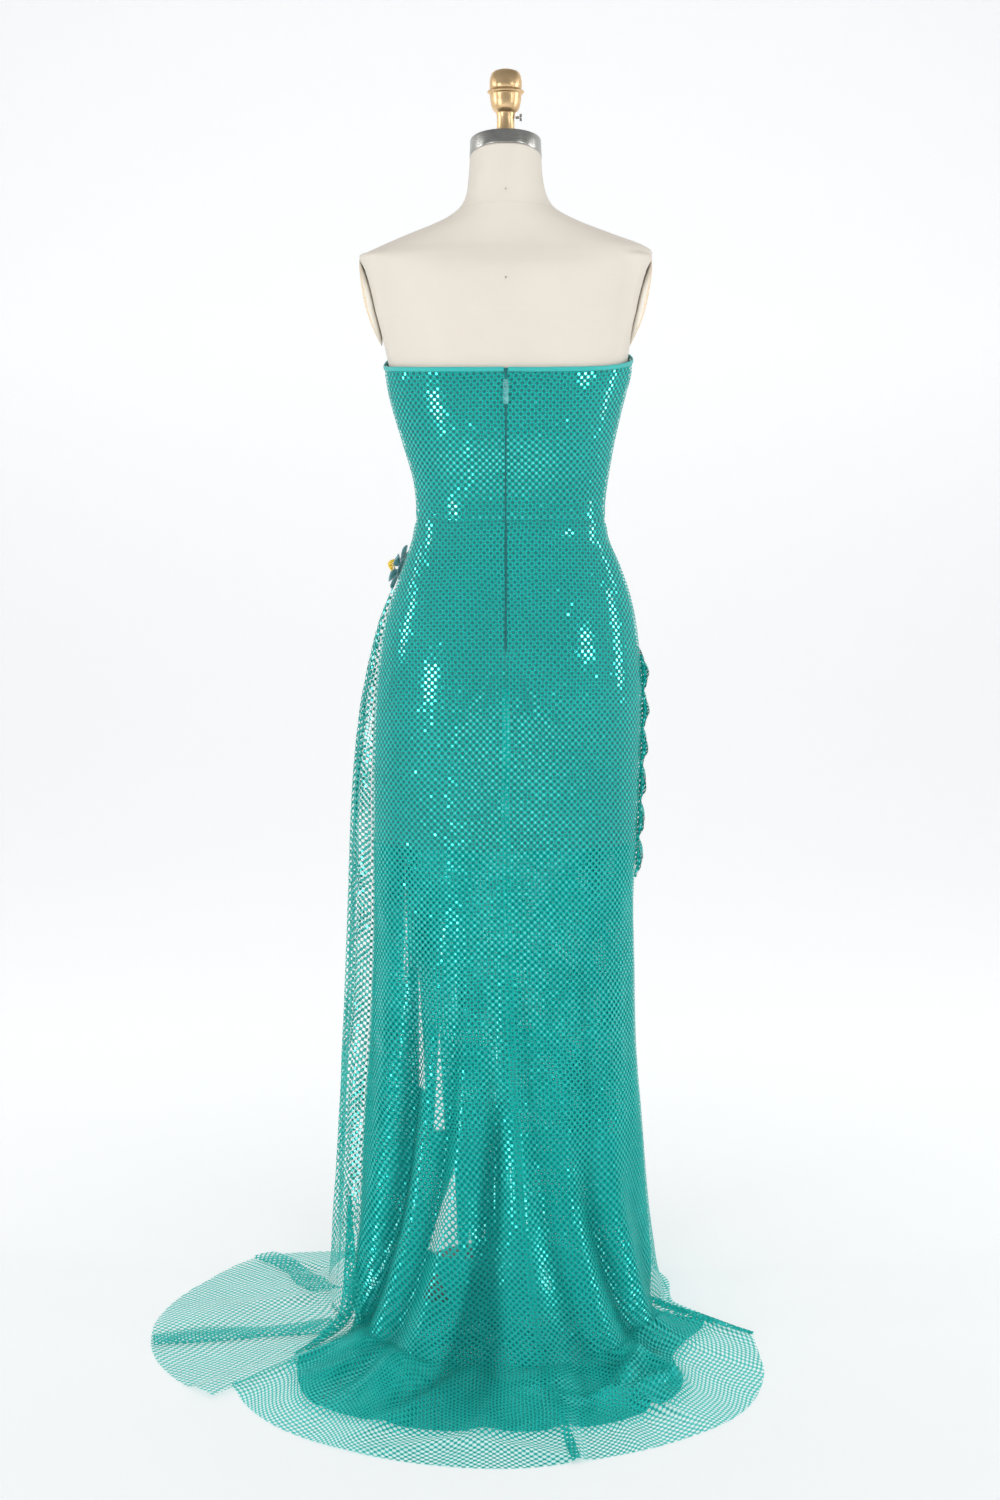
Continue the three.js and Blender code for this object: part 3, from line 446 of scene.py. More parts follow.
def maths(tree, operation, *values, clamp=False):
    node = tree.nodes.new("ShaderNodeMath")
    node.operation = operation
    node.use_clamp = clamp
    for socket, value in zip(node.inputs, values):
        put(tree, socket, value)
    return node.outputs[0]


def vector(tree, operation, *values, scale=None):
    node = tree.nodes.new("ShaderNodeVectorMath")
    node.operation = operation
    for socket, value in zip(node.inputs, values):
        put(tree, socket, value)
    if scale is not None:
        put(tree, node.inputs["Scale"], scale)
    return node.outputs["Value"] if operation in ("LENGTH", "DOT_PRODUCT") else node.outputs[0]


def ramp(tree, value, low, high, out_low=0.0, out_high=1.0):
    """A smooth step from low to high."""
    node = tree.nodes.new("ShaderNodeMapRange")
    node.interpolation_type = "SMOOTHSTEP"
    labels = ("Value", "From Min", "From Max", "To Min", "To Max")
    for label, given in zip(labels, (value, low, high, out_low, out_high)):
        put(tree, node.inputs[label], given)
    return node.outputs[0]


def blend(tree, share, a, b):
    """Mixes two colours."""
    node = tree.nodes.new("ShaderNodeMix")
    node.data_type = "RGBA"
    put(tree, node.inputs["Factor"], share)
    put(tree, node.inputs[6], a)
    put(tree, node.inputs[7], b)
    return node.outputs[2]


def noise(tree, place, scale, detail=3.0, roughness=0.55):
    node = tree.nodes.new("ShaderNodeTexNoise")
    put(tree, node.inputs["Vector"], place)
    put(tree, node.inputs["Scale"], scale)
    put(tree, node.inputs["Detail"], detail)
    put(tree, node.inputs["Roughness"], roughness)
    return node.outputs[0]


def split(tree, value):
    node = tree.nodes.new("ShaderNodeSeparateXYZ")
    put(tree, node.inputs[0], value)
    return node.outputs


def join(tree, x, y, z):
    node = tree.nodes.new("ShaderNodeCombineXYZ")
    for socket, value in zip(node.inputs, (x, y, z)):
        put(tree, socket, value)
    return node.outputs[0]


def grouped(tree, group, **values):
    """Places a node group in a tree. Names of inputs are given with _ for a space."""
    node = tree.nodes.new("ShaderNodeGroup")
    node.node_tree = group
    for label, value in values.items():
        put(tree, node.inputs[label.replace("_", " ")], value)
    return node.outputs


def new_material(name, **values):
    """A material and its tree, shader and the shader's sockets, with constants set on it."""
    material = bpy.data.materials.new(name)
    material.use_nodes = True
    tree = material.node_tree
    shader = tree.nodes["Principled BSDF"]
    for label, value in values.items():
        shader.inputs[label.replace("_", " ")].default_value = value
    return material, tree, shader.inputs


def object_place(tree):
    return tree.nodes.new("ShaderNodeTexCoord").outputs["Object"]


def cloth_place(tree):
    node = tree.nodes.new("ShaderNodeUVMap")
    node.uv_map = "Cloth"
    return node.outputs[0]


def bump(tree, height, strength, distance):
    node = tree.nodes.new("ShaderNodeBump")
    put(tree, node.inputs["Height"], height)
    put(tree, node.inputs["Strength"], strength)
    put(tree, node.inputs["Distance"], distance)
    return node.outputs[0]


# Effects that more than one material uses
def net_cells_group():
    """Holes and mirror dots that take turns over a square net, as masks, and each dot's own chances."""
    tree, given, out = new_group(
        "Net cells",
        [
            ("Place", "Vector", None),
            ("Mesh", "Float", MESH * MM),
            ("Hole size", "Float", HOLE_SHARE),
            ("Dot size", "Float", DOT_SHARE),
            ("Slits", "Float", 0.0),
        ],
        [("Hole", "Float"), ("Dot", "Float"), ("Inward", "Vector"), ("Chance", "Vector"), ("Rim", "Float")],
    )
    across = split(tree, given["Place"])
    cells = join(tree, *(maths(tree, "DIVIDE", across[k], given["Mesh"]) for k in (0, 1)), 0.0)
    cell = vector(tree, "FLOOR", cells)
    local = vector(tree, "SUBTRACT", vector(tree, "SUBTRACT", cells, cell), (0.5, 0.5, 0.0))
    at = split(tree, cell)
    odd = maths(tree, "FLOORED_MODULO", maths(tree, "ADD", at[0], at[1]), 2.0)
    even = maths(tree, "SUBTRACT", 1.0, odd)
    parts = split(tree, vector(tree, "ABSOLUTE", local))
    round_reach = vector(tree, "LENGTH", local)
    diamond = maths(tree, "ADD", parts[0], parts[1])
    reach = maths(tree, "MULTIPLY", maths(tree, "ADD", round_reach, diamond), 0.5)
    hole_edge = maths(tree, "SUBTRACT", reach, given["Hole size"])
    hole = maths(tree, "MULTIPLY", even, ramp(tree, hole_edge, 0.03, -0.03))
    dot_edge = maths(tree, "SUBTRACT", round_reach, given["Dot size"])
    slit_share = maths(tree, "MULTIPLY", odd, given["Slits"])
    slits = maths(tree, "MULTIPLY", slit_share, ramp(tree, dot_edge, 0.09, 0.15))
    put(tree, out["Hole"], maths(tree, "ADD", hole, slits))
    put(tree, out["Dot"], maths(tree, "MULTIPLY", odd, ramp(tree, dot_edge, 0.03, -0.03)))
    put(tree, out["Rim"], ramp(tree, maths(tree, "ABSOLUTE", dot_edge), 0.1, 0.0))
    put(tree, out["Inward"], vector(tree, "NORMALIZE", local))
    chance = tree.nodes.new("ShaderNodeTexWhiteNoise")
    chance.noise_dimensions = "2D"
    put(tree, chance.inputs["Vector"], cell)
    put(tree, out["Chance"], chance.outputs["Color"])
    return tree


def tilt_group():
    """Tilts a normal along the cloth by two amounts."""
    tree, given, out = new_group(
        "Tilted normal",
        [("Normal", "Vector", None), ("Along", "Vector", None), ("Tilt", "Vector", None)],
        [("Normal", "Vector")],
    )
    side = vector(tree, "CROSS_PRODUCT", given["Normal"], given["Along"])
    tilt = split(tree, given["Tilt"])
    first = vector(tree, "SCALE", given["Along"], scale=tilt[0])
    second = vector(tree, "SCALE", side, scale=tilt[1])
    leaned = vector(tree, "ADD", given["Normal"], vector(tree, "ADD", first, second))
    put(tree, out["Normal"], vector(tree, "NORMALIZE", leaned))
    return tree


def weave_group():
    """A plain weave's height over flat cloth, with slubs."""
    tree, given, out = new_group(
        "Plain weave",
        [("Place", "Vector", None), ("Thread", "Float", 0.0006), ("Slub", "Float", 0.4)],
        [("Height", "Float"), ("Tone", "Float")],
    )
    across = split(tree, given["Place"])
    threads = [maths(tree, "DIVIDE", across[k], given["Thread"]) for k in (0, 1)]
    turns = [maths(tree, "MULTIPLY", count, math.pi) for count in threads]
    waves = [maths(tree, "SINE", turn) for turn in turns]
    height = maths(tree, "ABSOLUTE", maths(tree, "MULTIPLY", waves[0], waves[1]))
    slubs = noise(tree, vector(tree, "MULTIPLY", given["Place"], (40.0, 900.0, 1.0)), 1.0, 2.0)
    put(tree, out["Height"], maths(tree, "ADD", height, maths(tree, "MULTIPLY", slubs, given["Slub"])))
    put(tree, out["Tone"], slubs)
    return tree


def mottle_group():
    """Slow patches over an object's surface, from 0 to 1, for dust, wear and uneven dye."""
    tree, given, out = new_group(
        "Slow mottle",
        [("Place", "Vector", None), ("Size", "Float", 0.05)],
        [("Patches", "Float")],
    )
    scale = maths(tree, "DIVIDE", 1.0, given["Size"])
    put(tree, out["Patches"], ramp(tree, noise(tree, given["Place"], scale, 4.0), 0.3, 0.7))
    return tree


def brushed_group():
    """Fine scratches that run round the Z axis."""
    tree, given, out = new_group(
        "Brushed rings",
        [("Place", "Vector", None), ("Rings", "Float", 1500.0)],
        [("Scratch", "Float")],
    )
    parts = split(tree, given["Place"])
    across = maths(tree, "MULTIPLY", parts[0], 6.0)
    ringed = join(tree, 0.0, across, maths(tree, "MULTIPLY", parts[2], given["Rings"]))
    put(tree, out["Scratch"], noise(tree, ringed, 1.0, 4.0, 0.7))
    return tree


NET_CELLS = net_cells_group()
TILT = tilt_group()
WEAVE = weave_group()
MOTTLE = mottle_group()
BRUSHED = brushed_group()


# Sheer places of the under net, and where the form's neck seam runs
NECK_SEAM = {"z": 1427, "lean": 0.14}
UNDER_WINDOWS = [
    (130, 585, 3.5, 150, 0.0),
    (113, 455, 4.5, 155, 0.03),
    (86, 378, 7, 128, 0.0),
    (66, 208, 20, 102, -0.13),
    (46, 136, 6, 34, 0.0),
    (88, 92, 18, 32, 0.0),
]

WINDOW_COVER = 0.28


# Materials
def net_material(name, yarn, yarn_light, dot, hole=HOLE_SHARE, slits=0.0, windows=()):
    """Open net: knitted yarn round holes, and mirror dots that each lean their own way.
    Windows are sheer places, pointed at the top, as (x, top z, half width, height, slant) in millimetres."""
    material, tree, shader = new_material(
        name,
        Specular_IOR_Level=0.12,
        Specular_Tint=(0.25, 0.85, 0.80, 1),
        Coat_IOR=1.7,
        Sheen_Weight=0.3,
        Sheen_Tint=(0.10, 0.95, 0.85, 1),
        Sheen_Roughness=0.35,
    )
    flat = cloth_place(tree)
    sway = [noise(tree, vector(tree, "ADD", flat, (0.0, 0.0, level)), 9.0, 1.0) for level in (0.0, 0.7)]
    wander = vector(tree, "SUBTRACT", join(tree, sway[0], sway[1], 0.5), (0.5, 0.5, 0.5))
    place = vector(tree, "ADD", flat, vector(tree, "SCALE", wander, scale=0.013))
    painted_shade = tree.nodes.new("ShaderNodeAttribute")
    painted_shade.attribute_name = "Painted_shade_and_light"
    # Painted light: where the net lies flat on the floor, its yarn is made lighter (below) and more of its
    # holes open
    lying = maths(tree, "MULTIPLY", painted_shade.outputs["Fac"], -1.0, clamp=True)
    opened = maths(tree, "MAXIMUM", ramp(tree, lying, 0.5, 1.0, 0.0, 0.75), slits)
    cells = grouped(tree, NET_CELLS, Place=place, Hole_size=hole, Slits=opened)
    dye = grouped(tree, MOTTLE, Place=place, Size=0.09)["Patches"]
    strand = noise(tree, place, 900.0, 2.0)
    light = maths(tree, "ADD", maths(tree, "MULTIPLY", dye, 0.35), maths(tree, "MULTIPLY", strand, 0.6))
    yarn_colour = blend(tree, light, yarn, yarn_light)
    yarn_colour = blend(tree, maths(tree, "MULTIPLY", lying, 0.6), yarn_colour, (0.04, 0.78, 0.70, 1))
    # Painted shade: the net's colour darkens towards a deep teal in folds, creases, grooves and along the
    # seams
    deep = maths(tree, "MULTIPLY", painted_shade.outputs["Fac"], 0.5, clamp=True)
    colour = blend(tree, cells["Dot"], yarn_colour, dot)
    put(tree, shader["Base Color"], blend(tree, deep, colour, (0.0, 0.10, 0.095, 1)))
    put(tree, shader["Metallic"], maths(tree, "MULTIPLY", cells["Dot"], 0.85))
    low_down = ramp(tree, split(tree, object_place(tree))[2], 0.45, 0.15)
    coat = ramp(tree, low_down, 0.0, 1.0, 0.8, 0.3)
    put(tree, shader["Coat Weight"], maths(tree, "MULTIPLY", cells["Dot"], coat))
    dot_roughness = ramp(tree, low_down, 0.0, 1.0, 0.12, 0.3)
    put(tree, shader["Roughness"], ramp(tree, cells["Dot"], 0.0, 1.0, 0.6, dot_roughness))
    in_shadow = tree.nodes.new("ShaderNodeLightPath").outputs["Is Shadow Ray"]
    shade = maths(tree, "SUBTRACT", 1.0, maths(tree, "MULTIPLY", in_shadow, SHADE_LOST))
    cover = maths(tree, "MULTIPLY", maths(tree, "SUBTRACT", 1.0, cells["Hole"]), shade)
    for window in windows:
        cover = maths(tree, "MULTIPLY", cover, window_cover(tree, *window))
    put(tree, shader["Alpha"], cover)
    centred = vector(tree, "SUBTRACT", cells["Chance"], (0.5, 0.5, 0.5))
    spread = maths(tree, "POWER", vector(tree, "LENGTH", centred), 6.0)
    lean = maths(tree, "ADD", maths(tree, "MULTIPLY", spread, 1.3), 0.035)
    lean = maths(tree, "MULTIPLY", lean, ramp(tree, low_down, 0.0, 1.0, 1.0, 1.8))
    dot_tilt = vector(tree, "SCALE", centred, scale=lean)
    yarn_tilt = vector(tree, "SCALE", cells["Inward"], scale=-0.7)
    tilt = tree.nodes.new("ShaderNodeMix")
    tilt.data_type = "VECTOR"
    put(tree, tilt.inputs["Factor"], cells["Dot"])
    put(tree, tilt.inputs[4], yarn_tilt)
    put(tree, tilt.inputs[5], dot_tilt)
    tangent = tree.nodes.new("ShaderNodeTangent")
    tangent.direction_type = "UV_MAP"
    tangent.uv_map = "Cloth"
    normal = tree.nodes.new("ShaderNodeNewGeometry").outputs["Normal"]
    leaned = grouped(tree, TILT, Normal=normal, Along=tangent.outputs[0], Tilt=tilt.outputs[1])["Normal"]
    put(tree, shader["Normal"], leaned)
    return material


def window_cover(tree, x, top, wide, tall, slant):
    """A little above 0 inside a sheer place of the cloth and 1 outside it."""
    parts = split(tree, object_place(tree))
    up = maths(tree, "SUBTRACT", parts[2], top * MM)
    down = maths(tree, "DIVIDE", up, -tall * MM)
    aside = maths(tree, "SUBTRACT", parts[0], x * MM)
    off = maths(tree, "ABSOLUTE", maths(tree, "SUBTRACT", aside, maths(tree, "MULTIPLY", up, slant)))
    past_side = maths(tree, "SUBTRACT", off, maths(tree, "MULTIPLY", down, wide * MM))
    outside = maths(tree, "MAXIMUM", ramp(tree, past_side, -0.0008, 0.0008), ramp(tree, down, 0.98, 1.02))
    return maths(tree, "ADD", maths(tree, "MULTIPLY", outside, 1 - WINDOW_COVER), WINDOW_COVER)


def cloth_material(name, colour, shade, roughness, thread=0.0006, sheen=0.2):
    """Close-woven cloth with uneven dye."""
    material, tree, shader = new_material(name, Roughness=roughness, Sheen_Weight=sheen)
    place = cloth_place(tree)
    weave = grouped(tree, WEAVE, Place=place, Thread=thread)
    dye = grouped(tree, MOTTLE, Place=object_place(tree), Size=0.12)["Patches"]
    threads = maths(tree, "MULTIPLY", weave["Tone"], 0.5)
    tone = maths(tree, "ADD", threads, maths(tree, "MULTIPLY", dye, 0.4))
    put(tree, shader["Base Color"], blend(tree, tone, colour, shade))
    put(tree, shader["Normal"], bump(tree, weave["Height"], 0.35, 0.0002))
    return material


def linen_material():
    """The form's linen cover, with a faint seam round its neck and painted shade on the faces that point up.
    """
    material, tree, shader = new_material("Linen", Roughness=0.85, Sheen_Weight=0.15)
    place = object_place(tree)
    parts = split(tree, place)
    weave = grouped(tree, WEAVE, Place=cloth_place(tree), Thread=0.0009, Slub=0.8)
    dust = grouped(tree, MOTTLE, Place=place, Size=0.11)["Patches"]
    threads = maths(tree, "MULTIPLY", weave["Tone"], 0.35)
    tone = maths(tree, "ADD", threads, maths(tree, "MULTIPLY", dust, 0.35))
    linen = blend(tree, tone, (0.77, 0.71, 0.63, 1), (0.715, 0.65, 0.56, 1))
    leaning = maths(tree, "SUBTRACT", parts[2], maths(tree, "MULTIPLY", parts[1], NECK_SEAM["lean"]))
    off_neck = maths(tree, "ABSOLUTE", maths(tree, "SUBTRACT", leaning, NECK_SEAM["z"] * MM))
    seam = ramp(tree, off_neck, 0.0016, 0.0004)
    upward = split(tree, tree.nodes.new("ShaderNodeNewGeometry").outputs["Normal"])[2]
    seam_tone = maths(tree, "MULTIPLY", seam, 0.08)
    # The neck seam is a little darker, and painted shade darkens the faces that point up, most of all on the
    # shoulders
    seam_and_top_shade = maths(tree, "ADD", seam_tone, ramp(tree, upward, 0.15, 0.9, 0.0, 0.3))
    put(tree, shader["Base Color"], blend(tree, seam_and_top_shade, linen, (0.50, 0.44, 0.37, 1)))
    raised = maths(tree, "MULTIPLY", weave["Height"], 0.15)
    height = maths(tree, "SUBTRACT", raised, maths(tree, "MULTIPLY", seam, 0.4))
    put(tree, shader["Normal"], bump(tree, height, 0.5, 0.0006))
    return material


def metal_material(name, colour, dull, roughness, rings=1500.0):
    """Turned or brushed metal with a little wear."""
    material, tree, shader = new_material(name, Metallic=1.0)
    place = object_place(tree)
    scratch = grouped(tree, BRUSHED, Place=place, Rings=rings)["Scratch"]
    wear = grouped(tree, MOTTLE, Place=place, Size=0.02)["Patches"]
    put(tree, shader["Base Color"], blend(tree, maths(tree, "MULTIPLY", wear, 0.6), colour, dull))
    put(tree, shader["Roughness"], maths(tree, "ADD", maths(tree, "MULTIPLY", scratch, 0.22), roughness))
    put(tree, shader["Normal"], bump(tree, scratch, 0.25, 0.0002))
    return material


def smooth_material(name, colour, shade, roughness, size=0.02, coat=0.0, metallic=0.0):
    """Paint, plastic or pearl with slow changes of tone."""
    material, tree, shader = new_material(name, Coat_Weight=coat, Metallic=metallic)
    patches = grouped(tree, MOTTLE, Place=object_place(tree), Size=size)["Patches"]
    put(tree, shader["Base Color"], blend(tree, patches, colour, shade))
    put(tree, shader["Roughness"], ramp(tree, patches, 0.0, 1.0, roughness, roughness + 0.12))
    return material


def wood_material():
    """Pale varnished ply for the arm plates, with painted light on the side against the form: a pale cream
    there, where it lies in shade.
    """
    material, tree, shader = new_material("Plate wood", Roughness=0.4, Coat_Weight=0.2)
    place = vector(tree, "MULTIPLY", object_place(tree), (400.0, 60.0, 900.0))
    grain = noise(tree, place, 1.0, 5.0, 0.65)
    wood = blend(tree, ramp(tree, grain, 0.3, 0.7), (0.80, 0.64, 0.44, 1), (0.90, 0.78, 0.62, 1))
    normal = split(tree, tree.nodes.new("ShaderNodeNewGeometry").outputs["Normal"])[0]
    side = split(tree, object_place(tree))[0]
    # Painted light: the side that faces the form, which lies in shade, is made a pale cream
    inner = ramp(tree, maths(tree, "MULTIPLY", normal, maths(tree, "SIGN", side)), -0.3, -0.6)
    put(tree, shader["Base Color"], blend(tree, inner, wood, (0.90, 0.86, 0.78, 1)))
    put(tree, shader["Normal"], bump(tree, grain, 0.2, 0.0003))
    return material


NET = net_material(
    "Mirror net", (0.004, 0.42, 0.372, 1), (0.016, 0.62, 0.555, 1), (0.07, 0.60, 0.56, 1), 0.57
)
SHEER_NET = net_material(
    "Drape net", (0.006, 0.42, 0.36, 1), (0.03, 0.62, 0.54, 1), (0.08, 0.62, 0.56, 1), 0.63, 0.8
)
DENSE_NET = net_material(
    "Gathered net", (0.004, 0.38, 0.34, 1), (0.016, 0.54, 0.48, 1), (0.06, 0.54, 0.50, 1), 0.34
)
# The under net has darker colours than the outer net: painted shade, for the shade inside the skirt seen
# through the outer net's holes
UNDER_NET = net_material(
    "Under net",
    (0.004, 0.28, 0.26, 1),
    (0.012, 0.38, 0.352, 1),
    (0.02, 0.38, 0.36, 1),
    0.1,
    windows=UNDER_WINDOWS,
)
# A teal satin lining, made darker than its own colour: painted shade, for the shade under the net seen
# through its holes
LINING = cloth_material("Lining satin", (0.003, 0.20, 0.19, 1), (0.006, 0.26, 0.245, 1), 0.5)
BINDING_CLOTH = cloth_material("Binding", (0.02, 0.45, 0.42, 1), (0.04, 0.54, 0.50, 1), 0.5)
LINEN = linen_material()
STEEL = metal_material("Brushed steel", (0.50, 0.49, 0.46, 1), (0.30, 0.30, 0.275, 1), 0.18)
BRASS = metal_material("Aged brass", (0.97, 0.69, 0.38, 1), (0.62, 0.40, 0.20, 1), 0.22, 2500.0)
SCREW_STEEL = metal_material("Screw steel", (0.75, 0.74, 0.72, 1), (0.5, 0.49, 0.47, 1), 0.15)
IRON = smooth_material("Black iron", (0.02, 0.02, 0.021, 1), (0.035, 0.034, 0.033, 1), 0.42, 0.01)
PULL_PAINT = smooth_material(
    "Pull enamel", (0.07, 0.36, 0.36, 1), (0.16, 0.50, 0.49, 1), 0.25, 0.004, 0.4
)
ZIP_TAPE = smooth_material("Zip coil", (0.006, 0.12, 0.13, 1), (0.012, 0.20, 0.20, 1), 0.5, 0.003)
PETAL = smooth_material("Petal pearl", (0.13, 0.30, 0.34, 1), (0.36, 0.54, 0.57, 1), 0.25, 0.008, 0.5)
YELLOW = smooth_material("Yellow beads", (0.92, 0.60, 0.02, 1), (0.95, 0.74, 0.12, 1), 0.2, 0.003, 0.5)
SILVER = smooth_material(
    "Silver beads", (0.80, 0.80, 0.78, 1), (0.92, 0.92, 0.90, 1), 0.12, 0.002, 0.3, 0.9
)
PLATE_WOOD = wood_material()


# Gown
def panel_angles(low, high, columns, gap_low=0.15, gap_high=0.15, radius=110):
    """Angles across a panel, pulled in at its edges by gaps in millimetres."""
    return np.linspace(low + math.degrees(gap_low / radius), high - math.degrees(gap_high / radius), columns)


PANELS = [
    {"name": "back_left", "low": 0, "high": 90, "columns": 70, "gap_high": ZIP_SLOT, "anchor": -1},
    {"name": "back_right", "low": 90, "high": 180, "columns": 70, "gap_low": ZIP_SLOT, "anchor": 0},
    {"name": "front", "low": 180, "high": 360, "columns": 140, "anchor": 70},
]


def panel_span(panel, slots=True):
    gaps = {k: panel[k] for k in ("gap_low", "gap_high") if k in panel and slots}
    return panel_angles(panel["low"], panel["high"], panel["columns"], **gaps)


def slot_opening(degrees, z):
    """How far the zip's slot has opened above the slider, in degrees."""
    open_share = smooth((z - PULL_AT[2] - 2) / 22)
    return open_share * 1.2 * np.sign(degrees - 90) * hump(degrees - 90, 5)


def add_bodice():
    for panel in PANELS:
        angle = panel_span(panel)[None, :]
        share = np.linspace(1, 0, 70)[:, None]
        z = mix(WAIST + 0.3, top_edge(angle) - BINDING - 0.2, share)
        radius = figure_radius(angle, z) - NET_IN + waist_tuck(z)
        grid = around(angle + slot_opening(angle, z), radius, z)
        obj = grid_object("Bodice_" + panel["name"], grid, NET, cloth_map(grid, 90, panel["anchor"]))
        seat(obj, "bodice_" + panel["name"])


def add_top_binding():
    """A narrow bound edge with a round section, along the top of each bodice piece."""
    turn = np.linspace(0, 2 * np.pi, 12, endpoint=False)[:, None]
    for panel in PANELS:
        angle = panel_span(panel)[None, :]
        top = top_edge(angle)
        z = top - BINDING / 2 + BINDING / 2 * np.sin(turn) * 0.98
        radius = figure_radius(angle, z) - NET_IN + 0.5 + 1.15 * np.cos(turn)
        grid = around(angle + slot_opening(angle, z), radius, z).swapaxes(0, 1)
        across = np.broadcast_to(np.linspace(0, 0.014, 12), grid.shape[:2])
        along = np.broadcast_to((np.linspace(0, 0.3, grid.shape[0]))[:, None], grid.shape[:2])
        cloth = np.stack([along, across], -1)
        name = "Top_binding_" + panel["name"]
        obj = grid_object(name, grid, BINDING_CLOTH, cloth, closed=True, caps=True)
        seat(obj, "top_binding_" + panel["name"])


def add_lining():
    for panel in PANELS:
        angle = panel_span(panel, slots=False)[None, :]
        share = np.linspace(0, 1, 110)[:, None]
        z = mix(top_edge(angle) - 1, LINING_HEM, share)
        radius = figure_radius(angle, z) - LINING_IN
        grid = around(angle, radius, z)
        obj = grid_object("Lining_" + panel["name"], grid, LINING, cloth_map(grid, 90, panel["anchor"]))
        seat(obj, "lining_" + panel["name"])


def step_z(step):
    return np.interp(step, np.arange(len(HANG_Z)), HANG_Z)


def step_out(step):
    return np.interp(step - LAST_HANG, np.arange(len(FLOOR_OUT)), FLOOR_OUT)


def lean_at(z):
    return np.radians(72 * smooth((110 - z) / 105))


def hanging_radius(degrees, z):
    shape = figure_radius(degrees, z) + folds_at(degrees, z) + creases_at(degrees, z)
    return shape + zip_dimple(degrees, z) + waist_tuck(z)


# Painted shade along the deep fold left of the middle that the train has drawn aside
PULLED_FOLD_SHADE = {"top": 320, "from": 89, "to": 77, "wide": 2.6}
# Painted shade in the pocket of cloth bunched at the right foot
SCRUNCH_SHADE = {"degrees": 112.5, "out": 0.2}


# Grooves between the folds where they reach the floor: their angle at the foot and further out
FLOOR_GROOVES = rows(
    "foot far wide deep",
    (57, 50, 1.5, 0.5),
    (66, 61, 1.8, 0.4),
    (79, 71, 1.6, 0.8),
    (87, 83, 2.0, 0.35),
    (97, 99, 1.5, 0.45),
    (106, 103, 1.3, 0.55),
    (114, 119, 1.6, 0.6),
    (123, 128, 1.5, 0.45),
    (134, 140, 1.8, 0.4),
)


def painted_shade_at(degrees, step):
    """How much painted shade a point of the skirt gets: in folds and creases, along the drawn-aside fold, in
    the bunched pocket and in the grooves on the floor, with darker lines along the waist and back seams. It
    is below 0 where the net lies on the floor, where it gets painted light, and -1 where one layer lies
    spread out."""
    z, out = step_z(step), step_out(step)
    bend = folds_at(degrees, z) + 3.5 * creases_at(degrees, z)
    folds = smooth(-bend / 12) * (1 - smooth(out / 0.9))
    below_zip = smooth((ZIP_END - z) / 30)
    seams = 0.2 * hump(z - WAIST, 4) + 0.3 * hump(degrees - seam("back", step), 1.2) * below_zip
    long = smooth((PULLED_FOLD_SHADE["top"] - z) / 120) * (1 - smooth(out / 0.9))
    drawn = mix(PULLED_FOLD_SHADE["from"], PULLED_FOLD_SHADE["to"], 1 - z / PULLED_FOLD_SHADE["top"])
    pulled = long * hump(degrees - drawn, PULLED_FOLD_SHADE["wide"])
    pit = smooth(out * 8) * hump(degrees - SCRUNCH_SHADE["degrees"], 2.4) * hump(out - SCRUNCH_SHADE["out"], 0.1)
    lying = 0.5 * smooth(out / 0.12) + 0.5 * smooth((out - 0.72) / 0.1)
    return np.clip(folds + seams + pulled + pit + groove_at(degrees, out) - lying, -1, 1)


def groove_at(degrees, out):
    depth = 0
    for foot, far, wide, deep in each(FLOOR_GROOVES, "foot far wide deep"):
        depth = depth + deep * hump(degrees - mix(foot, far, out / 0.6), wide * (1 + out))
    return depth * smooth(out * 9) * (1 - smooth((out - 0.4) / 0.3))


def floor_ripple(degrees, out):
    """The folds run on over the floor as low swells that die away."""
    swell = 0
    for foot, wide, deep in zip(FOLDS["foot"], FOLDS["wide"], FOLDS["out"]):
        swell = swell + max(deep, 0) * 1.1 * hump(degrees - foot, wide * 0.9)
    return swell * smooth(1 - out / 0.92) * smooth(out * 14)


# Small folds where the cloth has bunched on the floor: middle, direction, length, width and height
FLOOR_RIDGES = rows(
    "x y turn long wide tall",
    (-150, 330, 70, 60, 11, 17),
    (-178, 356, 40, 46, 9, 15),
    (-128, 392, 10, 44, 9, 13),
    (-190, 312, 120, 40, 10, 14),
    (-160, 410, 165, 38, 8, 10),
    (-258, 150, 138, 78, 10, 8),
    (-78, 515, 95, 52, 6, 6),
    (96, 400, 55, 90, 14, 7),
    (20, 440, 80, 80, 16, 6),
    (150, 330, 60, 80, 14, 8),
    (196, 300, 40, 70, 12, 7),
    (-60, 430, 100, 70, 14, 7),
    (240, 262, 48, 60, 10, 6),
    (60, 500, 20, 110, 12, 3),
    (-20, 520, 160, 100, 12, 3),
)


def bunching(x, y):
    height = 0
    for cx, cy, turn, long, wide, tall in each(FLOOR_RIDGES, "x y turn long wide tall"):
        a = math.radians(turn)
        along = (x - cx) * math.cos(a) + (y - cy) * math.sin(a)
        across = (y - cy) * math.cos(a) - (x - cx) * math.sin(a)
        height = height + tall * hump(along, long) * hump(across + 0.0015 * along**2, wide)
    return height


def train_reach(degrees, out, start):
    under = read(UNDER_HEM, "angle", "radius", degrees)
    hem = read(TRAIN_HEM, "angle", "radius", degrees)
    near = mix(start, under + 4, out / 0.72)
    edge = mix(under + 4, under + 22, (out - 0.72) / 0.08)
    far = mix(under + 22, hem, (out - 0.8) / 0.2)
    return np.where(out <= 0.72, near, np.where(out <= 0.8, edge, far))


def under_reach(degrees, out, start):
    return mix(start, read(UNDER_HEM, "angle", "radius", degrees), np.minimum(out / 0.72, 1))


def front_reach(degrees, out, start):
    return mix(start, np.maximum(read(HEM, "angle", "radius", degrees), start + 3), out)


